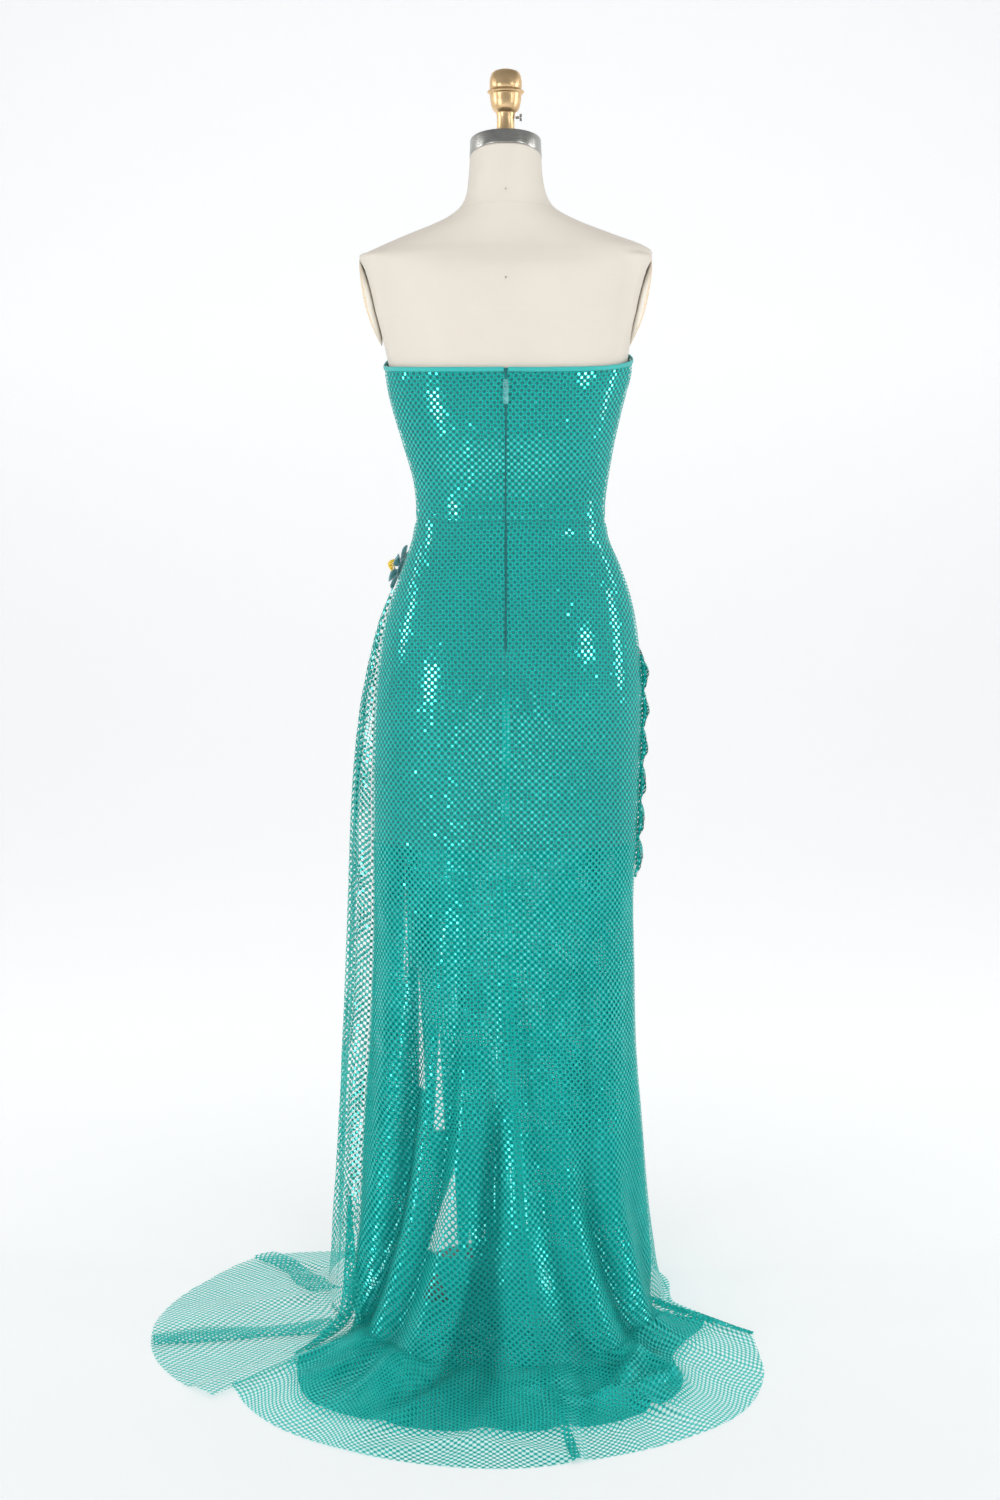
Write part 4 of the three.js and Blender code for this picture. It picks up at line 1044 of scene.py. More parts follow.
def skirt_grid(degrees, step, depth, reach, lying, edge_lying=None):
    """Points of a skirt layer, `depth` in from the outer face, that lies at height `lying` on the floor."""
    z, out = step_z(step), step_out(step)
    lean = lean_at(z)
    start = hanging_radius(degrees, z)
    down = smooth((out - 0.72) / 0.08)
    level = lying if edge_lying is None else mix(lying, edge_lying, down)
    landing = np.maximum(1 - (step - LAST_HANG), 0) ** 2
    first = HANG_Z[-1] - depth * np.sin(lean_at(HANG_Z[-1]))
    hung = step <= LAST_HANG
    radius = np.where(hung, start - depth * np.cos(lean), reach(degrees, out, start))
    a = np.radians(degrees)
    uneven = 1 + 0.5 * np.sin(a * 23) + 0.4 * np.sin(a * 11 + 2)
    mound = 4 * hump(out - 0.16, 0.14) * uneven * smooth(out * 8)
    bunched = bunching(radius * np.cos(a), radius * np.sin(a)) * smooth(out * 6)
    swell = np.maximum(floor_ripple(degrees, out) + bunched + mound - 5 * groove_at(degrees, out), 0)
    height = np.where(hung, z - depth * np.sin(lean), level + (first - level) * landing + swell)
    return around(degrees, radius, height)


def skirt_steps(last=LAST_STEP):
    """Row numbers, closer together than the table's, with more of them on the floor."""
    hang = np.linspace(0, LAST_HANG, 150)
    floor = np.linspace(LAST_HANG, last, int((last - LAST_HANG) * 11) + 1)[1:]
    return np.concatenate([hang, floor])[:, None]


def seam(name, step):
    return read(SEAMS, "step", name, step)


def edge_offset(step, gap):
    return np.degrees(gap / figure_radius(90, step_z(step)))


def slot_gap(step):
    """Half the gap at the back seam: the zip's slot, then a plain seam."""
    return mix(0.15, ZIP_SLOT, smooth((step_z(step) - ZIP_END + 8) / 16))


def across_seams(step, low, high, columns, low_gap, high_gap):
    share = np.linspace(0, 1, columns)[None, :]
    first = seam(low, step) + edge_offset(step, low_gap)
    last = seam(high, step) - edge_offset(step, high_gap)
    return mix(first, last, share)


def add_skirt_backs():
    step = skirt_steps()
    slot = slot_gap(step)
    parts = [
        ("left", across_seams(step, "left", "back", 110, 0.15, slot), -1, (0.56, 1.40), 0.37),
        ("right", across_seams(step, "back", "right", 110, slot, 0.15), 0, (0.45, 1.37), 0.33),
    ]
    for side, degrees, anchor, size, area in parts:
        grid = skirt_grid(degrees, step, NET_IN, train_reach, 3.0, 0.8)
        cloth = cloth_map(grid, 90, anchor, FLOOR_ROW)
        obj = grid_object("Skirt_back_" + side, grid, NET, cloth, painted_shade=painted_shade_at(degrees, step))
        seat(obj, "skirt_back_" + side)
    add_back_seam()


def add_back_seam():
    """The back seam's allowance, a narrow doubled strip inside the net from the zip's end to the hem."""
    step = skirt_steps()
    step = step[step[:, 0] >= ZIP_END_STEP]
    middle = seam("back", step)
    radius = mix(figure_radius(90, step_z(step)), read(TRAIN_HEM, "angle", "radius", middle), step_out(step))
    degrees = middle + np.linspace(-1, 1, 5)[None, :] * np.degrees(SEAM_HALF / radius)
    grid = skirt_grid(degrees, step, 1.7, train_reach, 2.3, 0.3)
    floor_row = int(np.sum(step <= LAST_HANG)) - 1
    obj = grid_object("Back_seam", grid, DENSE_NET, cloth_map(grid, 90, 2, floor_row))
    seat(obj)


def add_skirt_front():
    step = skirt_steps()
    degrees = across_seams(step, "right", "slit", 150, 0.15, 0.15)
    grid = skirt_grid(degrees, step, NET_IN, front_reach, 0.8)
    cloth = cloth_map(grid, 230, 75, FLOOR_ROW)
    obj = grid_object("Skirt_front", grid, NET, cloth, painted_shade=painted_shade_at(degrees, step))
    seat(obj, "skirt_front")


def add_underskirt():
    step = skirt_steps(UNDER_EDGE_STEP)
    step = step[step[:, 0] >= UNDER_STEP]
    degrees = across_seams(step, "left", "right", 200, 0.4, 0.4)
    grid = skirt_grid(degrees, step, UNDER_IN, under_reach, 0.8)
    floor_row = int(np.sum(step <= LAST_HANG)) - 1
    cloth = cloth_map(grid, 90, 100, floor_row) * 1.03
    obj = grid_object("Underskirt", grid, UNDER_NET, cloth, painted_shade=painted_shade_at(degrees, step))
    seat(obj, "underskirt")


DRAPE_STAND = rows(
    "share lift",
    (0, 0),
    (0.1, 0.38),
    (0.3, 0.86),
    (0.5, 1),
    (0.75, 0.93),
    (0.87, 0.76),
    (0.95, 0.45),
    (1, 0),
)
DRAPE_ROWS = rows(
    "z low high out off waves",
    (944, -15, -5, 0, 4, 1),
    (915, -18, -3.5, 0, 7, 2),
    (880, -22, -2, 0, 10, 3),
    (840, -25, -0.6, 0, 14, 4),
    (790, -27, -0.3, 0, 20, 5),
    (730, -29, 0, 0, 26, 6),
    (670, -31, 0, 0, 31, 6),
    (600, -32, 0, 0, 35, 7),
    (530, -33, 1.5, 0, 37, 7),
    (460, -34, 3, 0, 38, 7),
    (390, -35, 4, 0, 37, 8),
    (320, -35, 7, 0, 35, 8),
    (255, -35, 10, 0, 30, 8),
    (195, -35, 14, 0, 25, 8),
    (140, -34, 19, 0, 21, 7),
    (95, -33, 25, 0, 19, 6),
    (58, -32, 31.5, 0, 18, 5),
    (30, -31, 39, 0, 18, 3),
    (12, -30, 44, 0, 18, 1),
    (0, -29, 44.8, 0.18, 0, 0),
    (0, -27, 45.2, 0.45, 0, 0),
    (0, -25, 45.2, 0.75, 0, 0),
    (0, -24, 45.6, 1, 0, 0),
)
DRAPE_RIPPLES = 2.5
DRAPE_FAN_RIDGES = 2.5
DRAPE_LAST_HANG = 18
OVER_TRAIN = {"from": 42.5, "over": 2.0, "lift": 5.0, "past": 2.6}


def drape_values(step):
    """The drape's table, read between its rows, with its back edge drawn over the train."""
    values = {k: np.interp(step, np.arange(len(DRAPE_ROWS["z"])), DRAPE_ROWS[k]) for k in DRAPE_ROWS}
    values["high"] = values["high"] + OVER_TRAIN["past"] * smooth((step - DRAPE_LAST_HANG) * 0.8)
    return values


def drape_lying(share, out, degrees):
    """The drape's height on the floor: long soft ridges that fan out, and a lift over the train's edge."""
    arch = np.sin(np.pi * share)
    ridges = 8 * np.sin(np.pi * DRAPE_FAN_RIDGES * share) ** 8 * np.sqrt(arch)
    ridges = ridges + 3.0 * np.sin(np.pi * 9 * share + 3 * out) ** 4 * arch * (1 - 0.5 * out)
    lifted = OVER_TRAIN["lift"] * smooth((degrees - OVER_TRAIN["from"]) / OVER_TRAIN["over"])
    return 0.8 + ridges * (1 - out * 0.6) + lifted


def drape_radius(degrees, share, out):
    foot = figure_radius(degrees, HANG_Z[-1]) + 0.9 + 22 * np.sin(np.pi * share) + NET_IN
    return mix(foot, read(DRAPE_HEM, "angle", "radius", degrees), out)


def add_side_drape():
    floor_steps = np.linspace(DRAPE_LAST_HANG, len(DRAPE_ROWS["z"]) - 1, 70)[1:]
    step = np.concatenate([np.linspace(0, DRAPE_LAST_HANG, 150), floor_steps])[:, None]
    share = np.linspace(0, 1, 120)[None, :]
    values = drape_values(step)
    degrees = mix(values["low"], values["high"], share)
    arch = np.sin(np.pi * share)
    z = np.maximum(values["z"], HANG_Z[-1])
    stand = 0.9 + NET_IN + values["off"] * read(DRAPE_STAND, "share", "lift", share)
    ripple = values["waves"] * np.sin(2 * np.pi * DRAPE_RIPPLES * share) * arch
    fine = 0.35 * values["waves"] * np.sin(2 * np.pi * 7 * share + step * 0.25) * arch
    hanging = figure_radius(degrees, z) + np.maximum(folds_at(degrees, z), 0) + stand + ripple + fine
    on_floor = step > DRAPE_LAST_HANG
    landing = np.maximum(1 - (step - DRAPE_LAST_HANG), 0) ** 2
    settled = smooth((step - DRAPE_LAST_HANG) * 1.4)
    lying = mix(0.8, drape_lying(share, values["out"], degrees), settled)
    radius = np.where(on_floor, drape_radius(degrees, share, values["out"]), hanging)
    height = np.where(on_floor, mix(lying, HANG_Z[-1], landing), np.broadcast_to(z, degrees.shape))
    grid = around(degrees, radius, height)
    obj = grid_object("Side_drape", grid, SHEER_NET, cloth_map(grid, 10, 60, 149))
    seat(obj, "side_drape")
    add_drape_tucks()


# Narrow tucks of the drape, folded back on themselves across the floor
DRAPE_TUCKS = [
    {"name": "Drape_tuck_long", "start": (222, 166), "end": (446, 217), "half": 25, "flat": (0.052, 0.23)},
    {"name": "Drape_tuck_short", "start": (338, -84), "end": (222, 66), "half": 21, "flat": (0.042, 0.19)},
]


def add_drape_tucks():
    along = np.linspace(0, 1, 60)[:, None]
    across = np.linspace(-1, 1, 24)[None, :]
    for tuck in DRAPE_TUCKS:
        (x0, y0), (x1, y1) = tuck["start"], tuck["end"]
        long = math.hypot(x1 - x0, y1 - y0)
        half = tuck["half"] * (0.85 + 0.15 * np.cos(along * 9)) * across + 4 * np.sin(along * 6)
        x = mix(x0, x1, along) - (y1 - y0) / long * half
        y = mix(y0, y1, along) + (x1 - x0) / long * half
        degrees = np.degrees(np.arctan2(y, x))
        radius = np.hypot(x, y)
        near, far = drape_radius(degrees, 0.8, 0), read(DRAPE_HEM, "angle", "radius", degrees)
        out = np.clip((radius - near) / (far - near), 0, 1)
        share = np.clip((degrees + 27) / (27 + 47), 0, 1)
        roll = 2.2 + 2.6 * (1 - across**4)
        grid = np.stack([x, y, drape_lying(share, out, degrees) + roll], -1)
        obj = grid_object(tuck["name"], grid, NET, cloth_map(grid, 10, 12))
        seat(obj)


SWAG = {"pleats": 6, "clear": 3.2, "low": 344, "high": 177}
SWAG_EDGES = rows(
    "along top bottom pleat",
    (0, 990, 952, 2.5),
    (0.25, 972, 836, 4.5),
    (0.5, 938, 728, 6),
    (0.75, 896, 634, 6),
    (1, 857, 560, 6.5),
)


def add_roll(name, path):
    """A strip of net rolled up along a path of (x, y, z, radius) rows, a turn and a fifth round."""
    t = np.linspace(0, 1, 90)
    table = rows("t x y z r", *((k / (len(path) - 1), *row) for k, row in enumerate(path)))
    x, y, z, r = (read(table, "t", k, t) for k in "xyzr")
    line = np.stack([x, y, z], -1)
    ahead = np.gradient(line, axis=0)
    ahead /= np.linalg.norm(ahead, axis=1)[:, None]
    side = np.cross(ahead, (0.31, -0.22, 0.92))
    side /= np.linalg.norm(side, axis=1)[:, None]
    up = np.cross(side, ahead)
    turn = np.linspace(0, 2.4 * np.pi, 26)[None, :, None]
    swell = r[:, None, None] * (1 + 0.10 * np.sin(3 * turn + 14 * t[:, None, None])) * (1 - 0.02 * turn)
    grid = line[:, None] + swell * (np.cos(turn) * side[:, None] + np.sin(turn) * up[:, None])
    obj = grid_object(name, grid, NET, cloth_map(grid, 90))
    seat(obj)


def add_rolls():
    """Edges where the net has rolled up on itself."""
    drape = [(207, 62, 140, 2), (206, 88, 90, 6), (203, 112, 52, 9), (203, 142, 26, 10)]
    drape += [(213, 184, 13, 8), (236, 230, 8, 5), (262, 262, 5, 2)]
    add_roll("Drape_roll", drape)
    right = [(-186, 96, 12, 4.5), (-212, 112, 8, 4.5), (-250, 142, 6, 4)]
    right += [(-290, 176, 5, 3), (-316, 196, 4, 2)]
    add_roll("Side_hem_roll", right)


def add_front_swag():
    along = np.linspace(0, 1, 150)[:, None]
    across = np.linspace(0, 1, 130)[None, :]
    degrees = mix(SWAG["low"], SWAG["high"], along) + 0 * across
    z = mix(read(SWAG_EDGES, "along", "top", along), read(SWAG_EDGES, "along", "bottom", along), across)
    wave = (1 - np.cos(2 * np.pi * SWAG["pleats"] * across)) / 2
    pleat = read(SWAG_EDGES, "along", "pleat", along)
    fine = 0.8 * np.sin(2 * np.pi * 17 * across + along * 6) * smooth(along * 3)
    radius = figure_radius(degrees, z) + SWAG["clear"] + pleat * wave + fine - NET_IN
    grid = around(degrees, radius, z)
    obj = grid_object("Front_swag", grid, DENSE_NET, cloth_map(grid, 90, 65))
    seat(obj, "front_swag")
    add_swag_ruffle()


def add_swag_ruffle():
    """The swag's gathered end, rolled into the right seam."""
    across = np.linspace(0, 1, 60)
    z = mix(857, 560, across)
    wave = (1 - np.cos(2 * np.pi * SWAG["pleats"] * across)) / 2
    radius = figure_radius(np.full(60, 178.0), z) + 0.6 + 3.2 * wave
    line = around(178.0, radius, z)
    path = [(*line[k], 1.8 + 1.4 * wave[k]) for k in range(60)]
    add_roll("Swag_ruffle", path)


# Zip
BOX_FACES = [(0, 1, 3, 2), (4, 6, 7, 5), (0, 4, 5, 1), (2, 3, 7, 6), (0, 2, 6, 4), (1, 5, 7, 3)]


def add_zip():
    z = np.concatenate([np.linspace(1224, WAIST, 60), np.linspace(WAIST, ZIP_END + 1, 50)[1:]])[:, None]
    half = np.degrees(1.3 / 90)
    degrees = 90 + np.linspace(-half, half, 5)[None, :]
    open_share = smooth((z - PULL_AT[2] - 2) / 22)
    radius = figure_radius(degrees, z) - 1.4 - open_share * 1.6 + zip_dimple(degrees, z)
    grid = around(degrees, radius, z)
    cloth = np.stack(np.broadcast_arrays(degrees * 0.002, z * MM), -1)
    tape = grid_object("Zip_tape", grid, ZIP_TAPE, cloth)
    seat(tape, "zip_coil")
    add_zip_teeth()
    add_slider()
    add_pull()


def add_zip_teeth():
    """Small coil turns down the closed length of the zip."""
    points, faces = [], []
    pitch = 1.6
    for k in range(int((PULL_AT[2] - 6 - ZIP_END) / pitch)):
        z = PULL_AT[2] - 6 - k * pitch
        y = float(figure_radius(np.array(90.0), np.array(z))) - 1.0
        first = len(points)
        points += [(sx, y + sy * 0.45, z + sz * 0.45) for sx in (-1, 1) for sy in (-1, 1) for sz in (-1, 1)]
        faces += [[first + i for i in face] for face in BOX_FACES]
    seat(smooth_object("Zip_teeth", points, faces, ZIP_TAPE))


def box_mesh(mesh, low, high):
    """Adds a box to a bmesh and returns its vertices."""
    centre = (Vector(low) + Vector(high)) / 2
    size = Vector(high) - Vector(low)
    place = Matrix.Translation(centre) @ Matrix.Diagonal((*size, 1))
    return bmesh.ops.create_cube(mesh, size=1, matrix=place)["verts"]


def bmesh_object(name, mesh, material, rounding=0.0, segments=2):
    data = bpy.data.meshes.new(name)
    bmesh.ops.scale(mesh, vec=(MM, MM, MM), verts=mesh.verts)
    mesh.to_mesh(data)
    mesh.free()
    data.shade_smooth()
    data.materials.append(material)
    obj = bpy.data.objects.new(name, data)
    bpy.context.scene.collection.objects.link(obj)
    if rounding:
        bevel = obj.modifiers.new("Rounded", "BEVEL")
        bevel.width = rounding * MM
        bevel.segments = segments
        bevel.limit_method = "ANGLE"
        bevel.angle_limit = math.radians(30)
    return obj


def add_slider():
    """The slider's tapered body and the low arch that holds the pull."""
    _, y, z = PULL_AT
    base = y - 3.1
    mesh = bmesh.new()
    body = box_mesh(mesh, (-3.1, base, z - 5.5), (3.1, base + 1.9, z + 4.5))
    for vertex in body:
        if vertex.co.z < z:
            vertex.co.x *= 0.72
    for low, high in ((-3.2, -1.3), (1.3, 3.2)):
        box_mesh(mesh, (-0.9, base + 1.7, z + low), (0.9, y + 2.0, z + high))
    box_mesh(mesh, (-0.9, y + 1.3, z - 3.2), (0.9, y + 2.3, z + 3.2))
    seat(bmesh_object("Zip_slider", mesh, PULL_PAINT, 0.35), "zip_slider")


def add_pull():
    """A flat teardrop tab with an eye at its top, hanging from the slider."""
    x, y, z = PULL_AT
    long, wide, eye, thick = 27, 6.4, 3.4, 1.2
    low = -long + wide / 2
    outline = [(-eye, 0.6), (-eye, -6.4)]
    outline += [(-mix(eye, wide / 2 + 0.2, smooth(t)), mix(-6.4, low, t)) for t in np.linspace(0.2, 0.9, 5)]
    bottom = np.linspace(math.pi, 2 * math.pi, 15)
    outline += [(wide / 2 * math.cos(a), low + wide / 2 * math.sin(a)) for a in bottom]
    outline += [(mix(eye, wide / 2 + 0.2, smooth(t)), mix(-6.4, low, t)) for t in np.linspace(0.9, 0.2, 5)]
    outline += [(eye, -6.4), (eye, 0.6)]
    inner = [(-2.2, -0.6), (-2.2, -6.0), (2.2, -6.0), (2.2, -0.6)]
    mesh = bmesh.new()
    rings = []
    for ring in (outline, inner):
        verts = [mesh.verts.new((x + px, y - thick / 2, z + pz)) for px, pz in ring]
        rings.append([mesh.edges.new((verts[i], verts[(i + 1) % len(verts)])) for i in range(len(verts))])
    filled = bmesh.ops.triangle_fill(mesh, use_beauty=True, edges=rings[0] + rings[1])
    faces = [f for f in filled["geom"] if isinstance(f, bmesh.types.BMFace)]
    raised = bmesh.ops.extrude_face_region(mesh, geom=faces)
    moved = [v for v in raised["geom"] if isinstance(v, bmesh.types.BMVert)]
    bmesh.ops.translate(mesh, vec=(0, thick, 0), verts=moved)
    bmesh.ops.recalc_face_normals(mesh, faces=mesh.faces)
    seat(bmesh_object("Zip_pull", mesh, PULL_PAINT, 0.3), "zip_pull", TAB)


# Ornament
ORNAMENT = {"degrees": -13, "z": 968, "petals": 6, "reach": 31}
ORNAMENT |= {"inner": 9, "wide": 14, "stand": 9.0, "turn": 8}


def surface_frame(degrees, z, stand):
    """A matrix, in millimetres, that stands on the figure with its Z pointing out."""

    def at(d, height):
        turn, level = np.array(float(d)), np.array(float(height))
        return Vector(around(turn, figure_radius(turn, level), height))

    along = (at(degrees + 1, z) - at(degrees - 1, z)).normalized()
    up = (at(degrees, z + 20) - at(degrees, z - 20)).normalized()
    out = along.cross(up).normalized()
    place = Matrix((along, up, out)).transposed().to_4x4()
    place.translation = at(degrees, z) + out * stand
    return place


# A petal's half width from its root to its tip, as shares of its length and of half its width
PETAL_HALF = ((0, 0.2, 0.45, 0.7, 0.85, 0.95, 1), (0.4, 0.8, 1.1, 1.2, 1.0, 0.6, 0.08))


def petal_grid():
    """A cupped, pointed petal with a soft ridge and ribs, top and bottom as one closed loop of rows."""
    t = np.linspace(0, 1, 22)[:, None]
    turn = np.linspace(0, 2 * np.pi, 28, endpoint=False)[None, :]
    across = np.cos(turn)
    half = ORNAMENT["wide"] / 2 * np.interp(t, *PETAL_HALF)
    cup = 1.6 * across**2 * half / (ORNAMENT["wide"] / 2) + 0.5 * smooth(t) * t
    rib = 0.25 * np.cos(across * 14) * np.sin(np.pi * t)
    thick = 1.9 * (1 - 0.4 * t) * np.sin(turn)
    x = ORNAMENT["inner"] + (ORNAMENT["reach"] - ORNAMENT["inner"]) * t + 0 * across
    return np.stack([x, half * across, cup + 1.2 + thick + rib], -1)


def moved(grid, place):
    """Points of a grid carried by a matrix."""
    m = np.array(place)
    return grid @ m[:3, :3].T + m[:3, 3]


def bead_mesh(name, places, material):
    """Many small round beads in one mesh, from (centre, radius) pairs."""
    mesh = bmesh.new()
    for centre, radius in places:
        bmesh.ops.create_icosphere(mesh, subdivisions=2, radius=radius, matrix=Matrix.Translation(centre))
    return bmesh_object(name, mesh, material)


def add_ornament():
    place = surface_frame(ORNAMENT["degrees"], ORNAMENT["z"], ORNAMENT["stand"])
    place = place @ Matrix.Rotation(math.radians(ORNAMENT["turn"]), 4, "Y")
    for k in range(ORNAMENT["petals"]):
        turn = Matrix.Rotation(k * 2 * math.pi / ORNAMENT["petals"] + math.pi / 2, 4, "Z")
        grid = moved(petal_grid(), place @ turn)
        petal = grid_object(f"Petal_{k + 1}", grid, PETAL, closed=True, caps=True)
        seat(petal, f"ornament_petal_{k + 1}")
    golden = math.pi * (3 - math.sqrt(5))
    yellow, silver = [], []
    for k in range(46):
        reach = 9.2 * math.sqrt((k + 0.5) / 46)
        lift = 5.5 + 12 * (1 - (reach / 9.6) ** 2)
        centre = place @ Vector((reach * math.cos(k * golden), reach * math.sin(k * golden), lift))
        yellow.append((centre, 1.5))
    for k in range(12):
        a = k * math.pi / 6 + 0.2
        silver.append((place @ Vector((11.2 * math.cos(a), 11.2 * math.sin(a), 4.3)), 1.5))
    for k in range(ORNAMENT["petals"]):
        a = k * math.pi / 3 + math.pi / 2
        silver.append((place @ Vector((24 * math.cos(a), 24 * math.sin(a), 4.6)), 1.1))
    seat(bead_mesh("Ornament_centre", yellow, YELLOW), "ornament_centre")
    seat(bead_mesh("Ornament_beads", silver, SILVER))
    backing = turned("Ornament_backing", [(13.6, -2.2), (14, -1.8), (14, -0.6), (13.6, -0.3)], PETAL, 40)
    backing.data.transform(Matrix.Scale(1 / MM, 4))
    backing.data.transform(place)
    backing.data.transform(Matrix.Scale(MM, 4))
    seat(backing, "ornament_backing")


# Dress form
SHOULDERS = rows(
    "z side left right front back tilt",
    (1300, 167, 170, 170, 98, 97, 0),
    (1330, 173.5, 177, 177, 84, 96, 0),
    (1352, 180, 184, 184, 70, 90, 0),
    (1370, 186.5, 190, 190, 58, 80, 0),
    (1383, 170, 166, 184, 54, 72, 0),
    (1400, 130, 126, 139, 51, 65, 0),
    (1416, 80, 84, 94, 50, 59, 0.05),
    (1430, 50, 62, 66, 50, 54, 0.1),
    (1446, 40, 52, 54, 49, 50, 0.15),
    (1470, 40, 48, 48, 47, 46.5, 0.22),
    (1495, 40, 46, 46, 45.4, 45.4, 0.3),
)
FORM_COLUMNS = 160


def shoulder_ring(degrees, z):
    """A ring of the shoulders or neck, with the armholes cut flat."""
    value = {k: read(SHOULDERS, "z", k, z) for k in SHOULDERS if k != "z"}
    radius = oval_radius(degrees, value["left"], value["right"], value["front"], value["back"], 2.15)
    a = np.radians(degrees)
    flat = value["side"] / np.maximum(np.abs(np.cos(a)), 1e-6)
    inside = smooth((np.abs(np.cos(a)) - 0.955) / 0.02) * smooth((1376 - z) / 6)
    radius = mix(radius, flat, inside)
    return around(degrees, radius, z + value["tilt"] * radius * np.sin(a))


def add_torso():
    degrees = np.linspace(0, 360, FORM_COLUMNS, endpoint=False)[None, :]
    low = np.linspace(FORM_BOTTOM, WAIST, 40)[:, None]
    bodice = np.linspace(0, 1, 40)[1:, None]
    body_z = np.concatenate([low + 0 * degrees, mix(WAIST, top_edge(degrees), bodice)])
    body = around(degrees, figure_radius(degrees, body_z) - FORM_IN, body_z)
    shoulders = np.concatenate([shoulder_ring(degrees, z) for z in np.linspace(1300, 1495, 80)[:, None]])
    shoulders = shoulders.reshape(80, FORM_COLUMNS, 3)
    grid = np.concatenate([body, shoulders])
    along = np.cumsum(np.full((len(grid), 1), 0.006), axis=0) + 0 * degrees
    cloth = np.stack([degrees / 360 * 0.9 + 0 * along, along], -1)
    obj = grid_object("Form_torso", grid, LINEN, cloth, closed=True, caps=True)
    seat(obj, "form_torso")


def leaning_band(name, levels, material):
    """A closed solid round the neck from (radius, z, tilt) rings."""
    degrees = np.linspace(0, 360, 96, endpoint=False)
    rings = [around(degrees, r, z + tilt * r * np.sin(np.radians(degrees))) for r, z, tilt in levels]
    obj = grid_object(name, np.stack(rings), material, closed=True, caps=True)
    bevel = obj.modifiers.new("Rounded", "BEVEL")
    bevel.width = 0.8 * MM
    bevel.segments = 2
    bevel.limit_method = "ANGLE"
    return obj


def add_neck_and_finial():
    cap = [(46.4, 1495.4, 0.3), (46.4, 1498, 0.29), (45.6, 1518.5, 0.15), (44.1, 1520, 0.15)]
    seat(leaning_band("Neck_cap", cap, STEEL), "neck_cap")
    foot = 1520 + 0.15 * 12.2 + 0.3
    profile = [
        (13, foot),
        (13, foot + 3),
        (12.2, foot + 4),
        (11.4, 1533),
        (11.2, 1546),
        (12.2, 1553),
        (15.5, 1555.5),
        (17.6, 1559),
        (18.8, 1563),
        (19.8, 1569),
        (20.4, 1576),
        (23.2, 1577.8),
        (23.8, 1579),
        (23.2, 1580.3),
        (20.4, 1581.6),
        (20.0, 1583),
        (20.6, 1584),
        (20.8, 1588),
        (20.6, 1593),
        (19.8, 1598),
        (18.2, 1602),
        (15, 1605),
        (9, 1606.9),
        (2, 1607.4),
    ]
    seat(turned("Finial", profile, BRASS, 72, 0.3), "finial")
    shank = turned("Finial_screw", [(1.8, -2.5), (1.8, 2.5)], SCREW_STEEL, 20, 0.2)
    shank.data.transform(Matrix.Rotation(math.pi / 2, 4, "Y"))
    shank.data.transform(Matrix.Translation((-15.0 * MM, 0, 1547.5 * MM)))
    seat(shank, "finial_screw")
    add_knurled_head()


def add_knurled_head():
    """The thumb screw's head, with ridges round its rim."""
    count = 48
    a = np.arange(count) * 2 * np.pi / count
    ridge = 4.35 + 0.25 * (np.arange(count) % 2)
    rings = [(0.92, -1.5), (1.0, -1.2), (1.0, 1.2), (0.92, 1.5)]
    rim = [(0 * a + x, k * ridge * np.cos(a), k * ridge * np.sin(a)) for k, x in rings]
    grid = np.stack([np.stack(ring, -1) for ring in rim])
    grid = grid + np.array([-19.3, 0, 1547.5])
    head = grid_object("Finial_screw_head", grid, SCREW_STEEL, closed=True, caps=True)
    seat(head, "finial_screw_head")


PLATE = {"z": 1314, "tall": 55, "wide": 42, "x": 181.0, "lean": 0.2}
ARMHOLE_SIDE = ((1240, 1300, 1330, 1352, 1370), (151, 167, 173.5, 180, 186.5))


def add_arm_plates():
    """Padded ovals whose rims close in on the armholes above and below."""
    turn = np.linspace(0, 2 * np.pi, 72, endpoint=False)
    outside = [(1, 1.6), (0.96, 1.2), (0.85, 1), (0.65, 1), (0.45, 1), (0.25, 1), (0.08, 1)]
    for name, sign in (("left", 1), ("right", -1)):
        grid = []
        for scale, share in ((0.1, 0), (0.5, 0), (0.75, 0), (0.9, 0.3), (0.98, 0.7), (1, 0.9), *outside):
            rise = PLATE["tall"] * scale * np.sin(turn)
            z = PLATE["z"] + rise
            bowed = -np.where(rise < 0, 9.0, 4.0) * (rise / PLATE["tall"]) ** 2
            outer = PLATE["x"] + PLATE["lean"] * rise + bowed
            against = np.minimum(np.interp(z, *ARMHOLE_SIDE) + 0.8, outer - 1.5)
            x = sign * (mix(against, outer, share) if share <= 1 else outer + share - 1)
            grid.append(np.stack([x, PLATE["wide"] * scale * np.cos(turn), z], -1))
        plate = grid_object("Arm_plate_" + name, np.stack(grid), PLATE_WOOD, closed=True, caps=True)
        seat(plate, "arm_plate_" + name)


def add_pins():
    """Two small nail heads on the back of the form, in the neck seam and between the shoulders."""
    places = []
    for z in (1443.5, 1336):
        ring = shoulder_ring(np.array([90.0]), np.array(float(z)))[0]
        places.append((Vector(ring), 1.5))
    seat(bead_mesh("Form_pins", places, SCREW_STEEL))


def add_stand():
    top = FORM_BOTTOM - 0.3
    seat(turned("Stand_pole", [(16, 24.3), (16, top)], STEEL, 48, 0.5), "stand_pole")
    profile = [(132, 0), (132, 6), (130, 8.5), (118, 13), (46, 17), (40, 19), (34, 24)]
    seat(turned("Stand_base", profile, IRON, 96, 0.5), "stand_base")


# Studio, in metres
SWEEP = {"near": 6.0, "foot": -2.6, "bend": 1.6, "side": 16.0, "top": 6.0}
SWEEP_GLOW = {"near": 0.13, "far": 0.36}


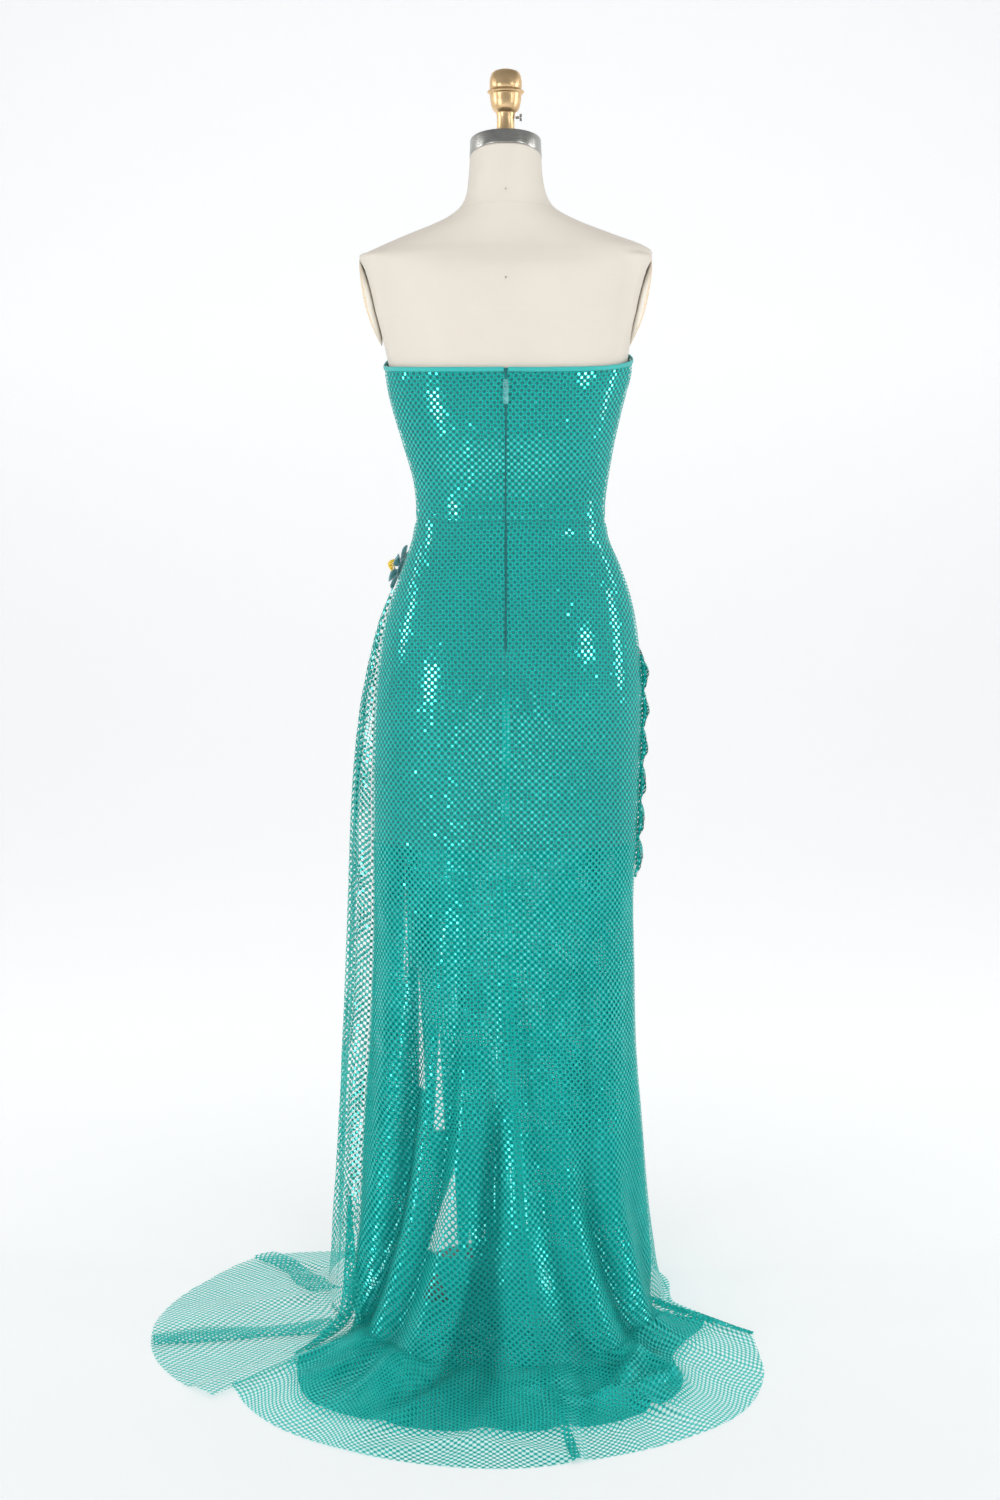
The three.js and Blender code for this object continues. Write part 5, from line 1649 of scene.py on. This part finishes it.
def add_sweep():
    """A white floor that curves up into a backdrop."""
    material, tree, shader = new_material("Studio white", Roughness=0.7)
    shader["Base Color"].default_value = (0.86, 0.865, 0.87, 1)
    far = split(tree, object_place(tree))[1]
    glow = ramp(tree, far, 0.9, -1.6, SWEEP_GLOW["near"], SWEEP_GLOW["far"])
    put(tree, shader["Emission Color"], join(tree, glow, glow, glow))
    shader["Emission Strength"].default_value = 1.0
    foot, bend, side = SWEEP["foot"], SWEEP["bend"], SWEEP["side"]
    turn = np.linspace(0, math.pi / 2, 24)
    profile = [(SWEEP["near"], 0.0)]
    profile += [(foot - bend * math.sin(t), bend - bend * math.cos(t)) for t in turn]
    profile += [(foot - bend, SWEEP["top"])]
    grid = np.array([[(x, y, z) for x in (-side, side)] for y, z in profile]) / MM
    floor = grid_object("Studio_sweep", grid, material)


def area_light(name, place, aim, size, power):
    data = bpy.data.lights.new(name, "AREA")
    data.shape = "RECTANGLE"
    data.size, data.size_y = size
    data.energy = power
    obj = bpy.data.objects.new(name, data)
    obj.location = place
    obj.rotation_euler = (Vector(aim) - Vector(place)).to_track_quat("-Z", "Y").to_euler()
    bpy.context.scene.collection.objects.link(obj)
    return obj


def add_lights():
    """Small soft boxes round the gown, which the mirror dots show, and three wide fills, which they don't."""
    strips = [
        ("Key_low", 27, 3.1, 0.07, (0.12, 0.13), 0.5),
        ("Key_left", 47, 3.1, 0.85, (0.55, 0.62), 13),
        ("Key_right", -48, 3.1, 1.5, (0.5, 0.55), 9),
        ("Side_left", 86, 2.6, 1.6, (0.4, 0.8), 9),
        ("Side_right", -86, 2.6, 1.35, (0.4, 1.3), 12),
        ("Cap_left", 102, 2.6, 2.05, (0.35, 0.35), 1.8),
        ("Cap_right", -102, 2.6, 2.05, (0.35, 0.35), 1.8),
    ]
    for name, turn, far, height, size, power in strips:
        a = math.radians(turn)
        area_light(name, (far * math.sin(a), far * math.cos(a), height), (0, 0, height), size, power)
    soft = [
        ("Overhead", (0, 0.9, 3.6), (0, 0, 0.7), (2.6, 2.2), 26),
        ("Fill", (0, 4.6, 1.4), (0, 0, 0.7), (3.6, 2.6), 32),
        ("Fill_low", (0, 3.2, 0.9), (0, 0.3, 0.05), (3.0, 0.7), 22),
    ]
    for name, place, aim, size, power in soft:
        area_light(name, place, aim, size, power).visible_glossy = False


def set_world():
    world = bpy.data.worlds.new("Studio air")
    world.use_nodes = True
    tree = world.node_tree
    background = tree.nodes["Background"]
    background.inputs["Color"].default_value = (0.95, 0.98, 1.0, 1)
    background.inputs["Strength"].default_value = 0.35
    bpy.context.scene.world = world


def add_camera():
    """Level with the waist behind the gown, tipped down a little, as in the photograph."""
    data = bpy.data.cameras.new("Camera")
    data.lens = 50
    data.sensor_width = 36
    data.clip_end = 50
    camera = bpy.data.objects.new("Camera", data)
    camera.location = (0.0073, 2.75, 1.047)
    pitch = math.atan(240 / 2083)
    camera.rotation_euler = (math.pi / 2 - pitch, 0, math.pi)
    bpy.context.scene.collection.objects.link(camera)
    bpy.context.scene.camera = camera


add_bodice()
add_top_binding()
add_lining()
add_skirt_backs()
add_skirt_front()
add_underskirt()
add_side_drape()
add_front_swag()
add_rolls()
add_zip()
add_ornament()
add_torso()
add_neck_and_finial()
add_arm_plates()
add_pins()
add_stand()
add_sweep()
add_lights()
set_world()
add_camera()
bpy.context.scene.view_settings.view_transform = "Standard"
